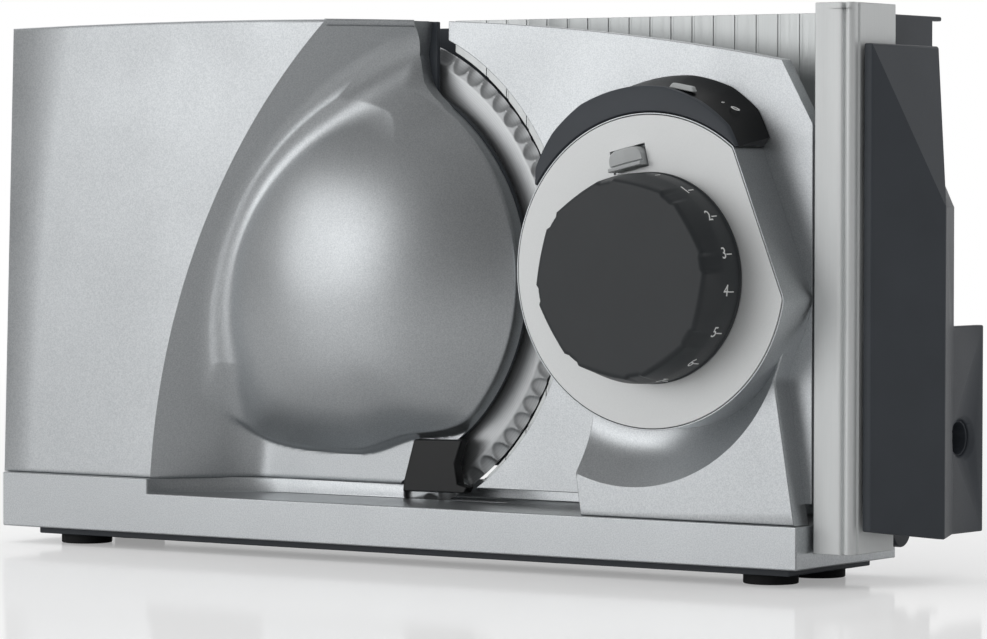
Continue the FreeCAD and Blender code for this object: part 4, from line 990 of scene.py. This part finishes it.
# Its lighter anodised finish is painted light, standing in for the light that the profile catches.
hand_over(profile, "end_profile", painted_light_anodised)

# %% [markdown]
# Pan-head screws hold the base's cover and the housing. Each head is a short cylinder with a rounded
# crown and a cross recess. The recess is an inset ring whose corners are drawn in to a cross, and then
# pushed down. One screw is modelled and copied, each copy with its own mesh.

# %% Screws
HEAD_RADIUS, HEAD_HEIGHT, CROWN_ROUND = 3.1, 2.0, 0.7
CROSS_REACH, CROSS_WIDTH, CROSS_DEPTH, CROSS_TAPER = 1.75, 0.42, 1.1, 0.55
screw = added("screw_pattern", bpy.ops.mesh.primitive_cylinder_add, vertices=48, radius=HEAD_RADIUS * MM,
              depth=HEAD_HEIGHT * MM)
pick_faces(screw, lambda face: face.normal.z > 0.9)
bpy.ops.mesh.bevel(offset=CROWN_ROUND * MM, segments=4)
bpy.ops.mesh.inset(thickness=0.4 * MM)
bpy.ops.mesh.extrude_region_move()
leave()
crown = max(screw.data.polygons, key=lambda face: face.center.z + (len(face.vertices) > 8))
for index in crown.vertices:
    spot = screw.data.vertices[index].co
    aside, up = (max(abs(value) / spot.xy.length, 1e-6) for value in spot.xy)
    flat, tall = min(CROSS_REACH / aside, CROSS_WIDTH / up), min(CROSS_REACH / up, CROSS_WIDTH / aside)
    spot.xy = spot.xy.normalized() * max(flat, tall) * MM
bpy.ops.object.mode_set(mode="EDIT")
extrude(0, 0, -CROSS_DEPTH)
bpy.ops.transform.resize(value=(CROSS_TAPER, CROSS_TAPER, 1))
leave()
smooth(screw)
SCREW_PLACES = {"base_screws": [(x, y, -1, (math.pi, 0, 0)) for x in (45, 235) for y in (9.5, 54.5)],
                "housing_screws": [(x, 37, z, (-math.pi / 2, 0, 0))
                                   for x, z in ((12, 32), (56, 32), (12, 166), (45, 168))]}
for node, places in SCREW_PLACES.items():
    for count, (x, y, z, turn) in enumerate(places, start=1):
        copy = copied(f"{node}_{count}", screw.data)
        copy.location, copy.rotation_euler = at(x, y, z), turn
        bpy.ops.object.transform_apply()
        hand_over(copy, node)
bpy.data.objects.remove(screw)

# %% [markdown]
# The feet are rubber discs with a rounded lower edge and a hollow in the middle, where the mould's core
# pin stood. They hardly show, but they lift the machine and cast its thin line of shadow.

# %% Rubber feet
FOOT_RADIUS, FOOT_HEIGHT, FOOT_RIM, FOOT_HOLLOW, FLOOR_Z = 9.0, 3.5, 3, 1.2, -6
for count, (x, y) in enumerate(((24, 18), (24, 48), (308, 18), (308, 48)), start=1):
    pad = added(f"base_foot_{count}", bpy.ops.mesh.primitive_cylinder_add, vertices=64,
                radius=FOOT_RADIUS * MM, depth=FOOT_HEIGHT * MM, location=at(x, y, FLOOR_Z + FOOT_HEIGHT / 2))
    bpy.ops.object.transform_apply()
    pick_faces(pad, lambda face: face.normal.z < -0.9)
    bpy.ops.mesh.inset(thickness=FOOT_RIM * MM)
    extrude(0, 0, FOOT_HOLLOW)
    leave()
    round_edges(pad, 0.5)
    hand_over(pad, "base_feet")

# %% [markdown]
# The floor is a pale glossy table top, as in a product studio: almost white, with a faint mirror image
# of the machine. The camera sees a little extra glow, so that the open floor runs into the white
# background. The glow is only a part of the floor's light, so the shadow still shows. Farther out the
# table ends and the room begins: white behind the machine, dark in front of it. Metal shows what it
# reflects, so the dark half is what gives the dome and the slope their deep greys.

# %% Floor
ROOM_BACK, ROOM_FRONT, ROOM_TOP = 1.0, 0.16, 0.3
FILL_LEFT, FILL_RIGHT, GLOW, MIRROR_SHARE = 0.9, 0.42, 0.36, 0.2


def background_seen(tree):
    """Two outputs: 1 for the rays of the camera and through glass, and 1 for mirrored rays."""
    rays = add_node(tree, "LightPath", {})
    open_view = add_node(tree, "Math", {0: rays["Is Camera Ray"], 1: rays["Is Transmission Ray"]},
                         operation="MAXIMUM")
    return open_view[0], rays["Is Glossy Ray"]


floor = added("studio_floor", bpy.ops.mesh.primitive_plane_add, size=8)
table_top = bpy.data.materials.new("white_gloss_table")
tree = new_tree(table_top)
open_view, mirrored = background_seen(tree)
spot = add_node(tree, "TexCoord", {})["Object"]
depth = add_node(tree, "SeparateXYZ", {0: spot})[1]
reach = add_node(tree, "VectorMath", {0: spot}, operation="LENGTH")["Value"]
shine = add_node(tree, "MapRange", {"Value": depth, "From Min": 0.0, "From Max": 0.3, "To Max": GLOW})[0]
shine = add_node(tree, "Math", {0: shine, 1: mirrored}, operation="MULTIPLY")[0]
glow = add_node(tree, "Math", {0: open_view, 1: GLOW, 2: shine}, operation="MULTIPLY_ADD")[0]
glow = add_node(tree, "Emission", {"Strength": glow})[0]
matt = add_node(tree, "BsdfDiffuse", {"Color": colour("E4E4E4")})[0]
lit = add_node(tree, "AddShader", {0: glow, 1: matt})[0]
mirror = add_node(tree, "BsdfGlossy", {"Color": colour("FFFFFF"), "Roughness": 0.09})[0]
table = add_node(tree, "MixShader", {0: MIRROR_SHARE, 1: lit, 2: mirror})[0]
room = add_node(tree, "MapRange", {"Value": depth, "From Min": -0.3, "From Max": 0.35,
                                   "To Min": ROOM_FRONT, "To Max": ROOM_BACK})[0]
beyond = add_node(tree, "Mix", {0: open_view, NUMBER_A: room, NUMBER_B: 1.0})[0]
beyond = add_node(tree, "Emission", {"Strength": beyond})[0]
far = add_node(tree, "MapRange", {"Value": reach, "From Min": 0.35, "From Max": 1.6})[0]
ground = add_node(tree, "MixShader", {0: far, 1: table, 2: beyond})[0]
add_node(tree, "OutputMaterial", {"Surface": ground})
floor.data.materials.append(table_top)
print(floor.name, "with mirror share", MIRROR_SHARE)

# %% [markdown]
# The room continues that idea above the floor. Mirrored rays find it white behind and to the left, and
# dark in front and to the right. Light on matt surfaces comes from everywhere, more of it from the left,
# so that round shapes turn away from it softly.

# %% Room
world = bpy.data.worlds.new("studio_room")
bpy.context.scene.world = world
tree = new_tree(world)
open_view, mirrored = background_seen(tree)
way = add_node(tree, "SeparateXYZ", {0: add_node(tree, "TexCoord", {})["Generated"]})
side = add_node(tree, "Math", {0: way[0], 1: -0.8, 2: way[1]}, operation="MULTIPLY_ADD")[0]
behind = add_node(tree, "MapRange", {"Value": side, "From Min": 0.1, "From Max": 0.9,
                                     "To Min": ROOM_FRONT, "To Max": ROOM_BACK})[0]
above = add_node(tree, "MapRange", {"Value": way[2], "From Min": 0.3, "From Max": 0.8,
                                    "To Min": 0.0, "To Max": ROOM_TOP})[0]
seen_in_metal = add_node(tree, "Math", {0: behind, 1: above}, operation="MAXIMUM")[0]
fill = add_node(tree, "MapRange", {"Value": way[0], "From Min": -0.8, "From Max": 0.8,
                                   "To Min": FILL_LEFT, "To Max": FILL_RIGHT})[0]
light = add_node(tree, "Mix", {0: mirrored, NUMBER_A: fill, NUMBER_B: seen_in_metal})[0]
strength = add_node(tree, "Mix", {0: open_view, NUMBER_A: light, NUMBER_B: 1.0})[0]
sky = add_node(tree, "Background", {"Color": colour("FFFFFF"), "Strength": strength})
add_node(tree, "OutputWorld", {"Surface": sky[0]})
bpy.context.scene.view_settings.view_transform = "Standard"
print(world.name, "from", ROOM_FRONT, "to", ROOM_BACK)

# %% [markdown]
# One large soft box stands at the front left. The flat fronts mirror it towards the camera, which is why
# they look bright and even, and the dome gathers it to one soft highlight.

# %% Soft box
MACHINE_MIDDLE = Vector((0, 0, 0.09))
soft_box = added("soft_box", bpy.ops.object.light_add, type="AREA", location=(-0.68, -1.27, 0.22))
soft_box.data.shape, soft_box.data.energy = "RECTANGLE", 5.0
soft_box.data.size, soft_box.data.size_y = 0.95, 1.0
soft_box.visible_camera = False
soft_box.rotation_euler = (MACHINE_MIDDLE - soft_box.location).to_track_quat("-Z", "Y").to_euler()
print("soft box at", soft_box.location)

# %% [markdown]
# At the end the view layer is updated once more.

# %% The end
bpy.context.view_layer.update()
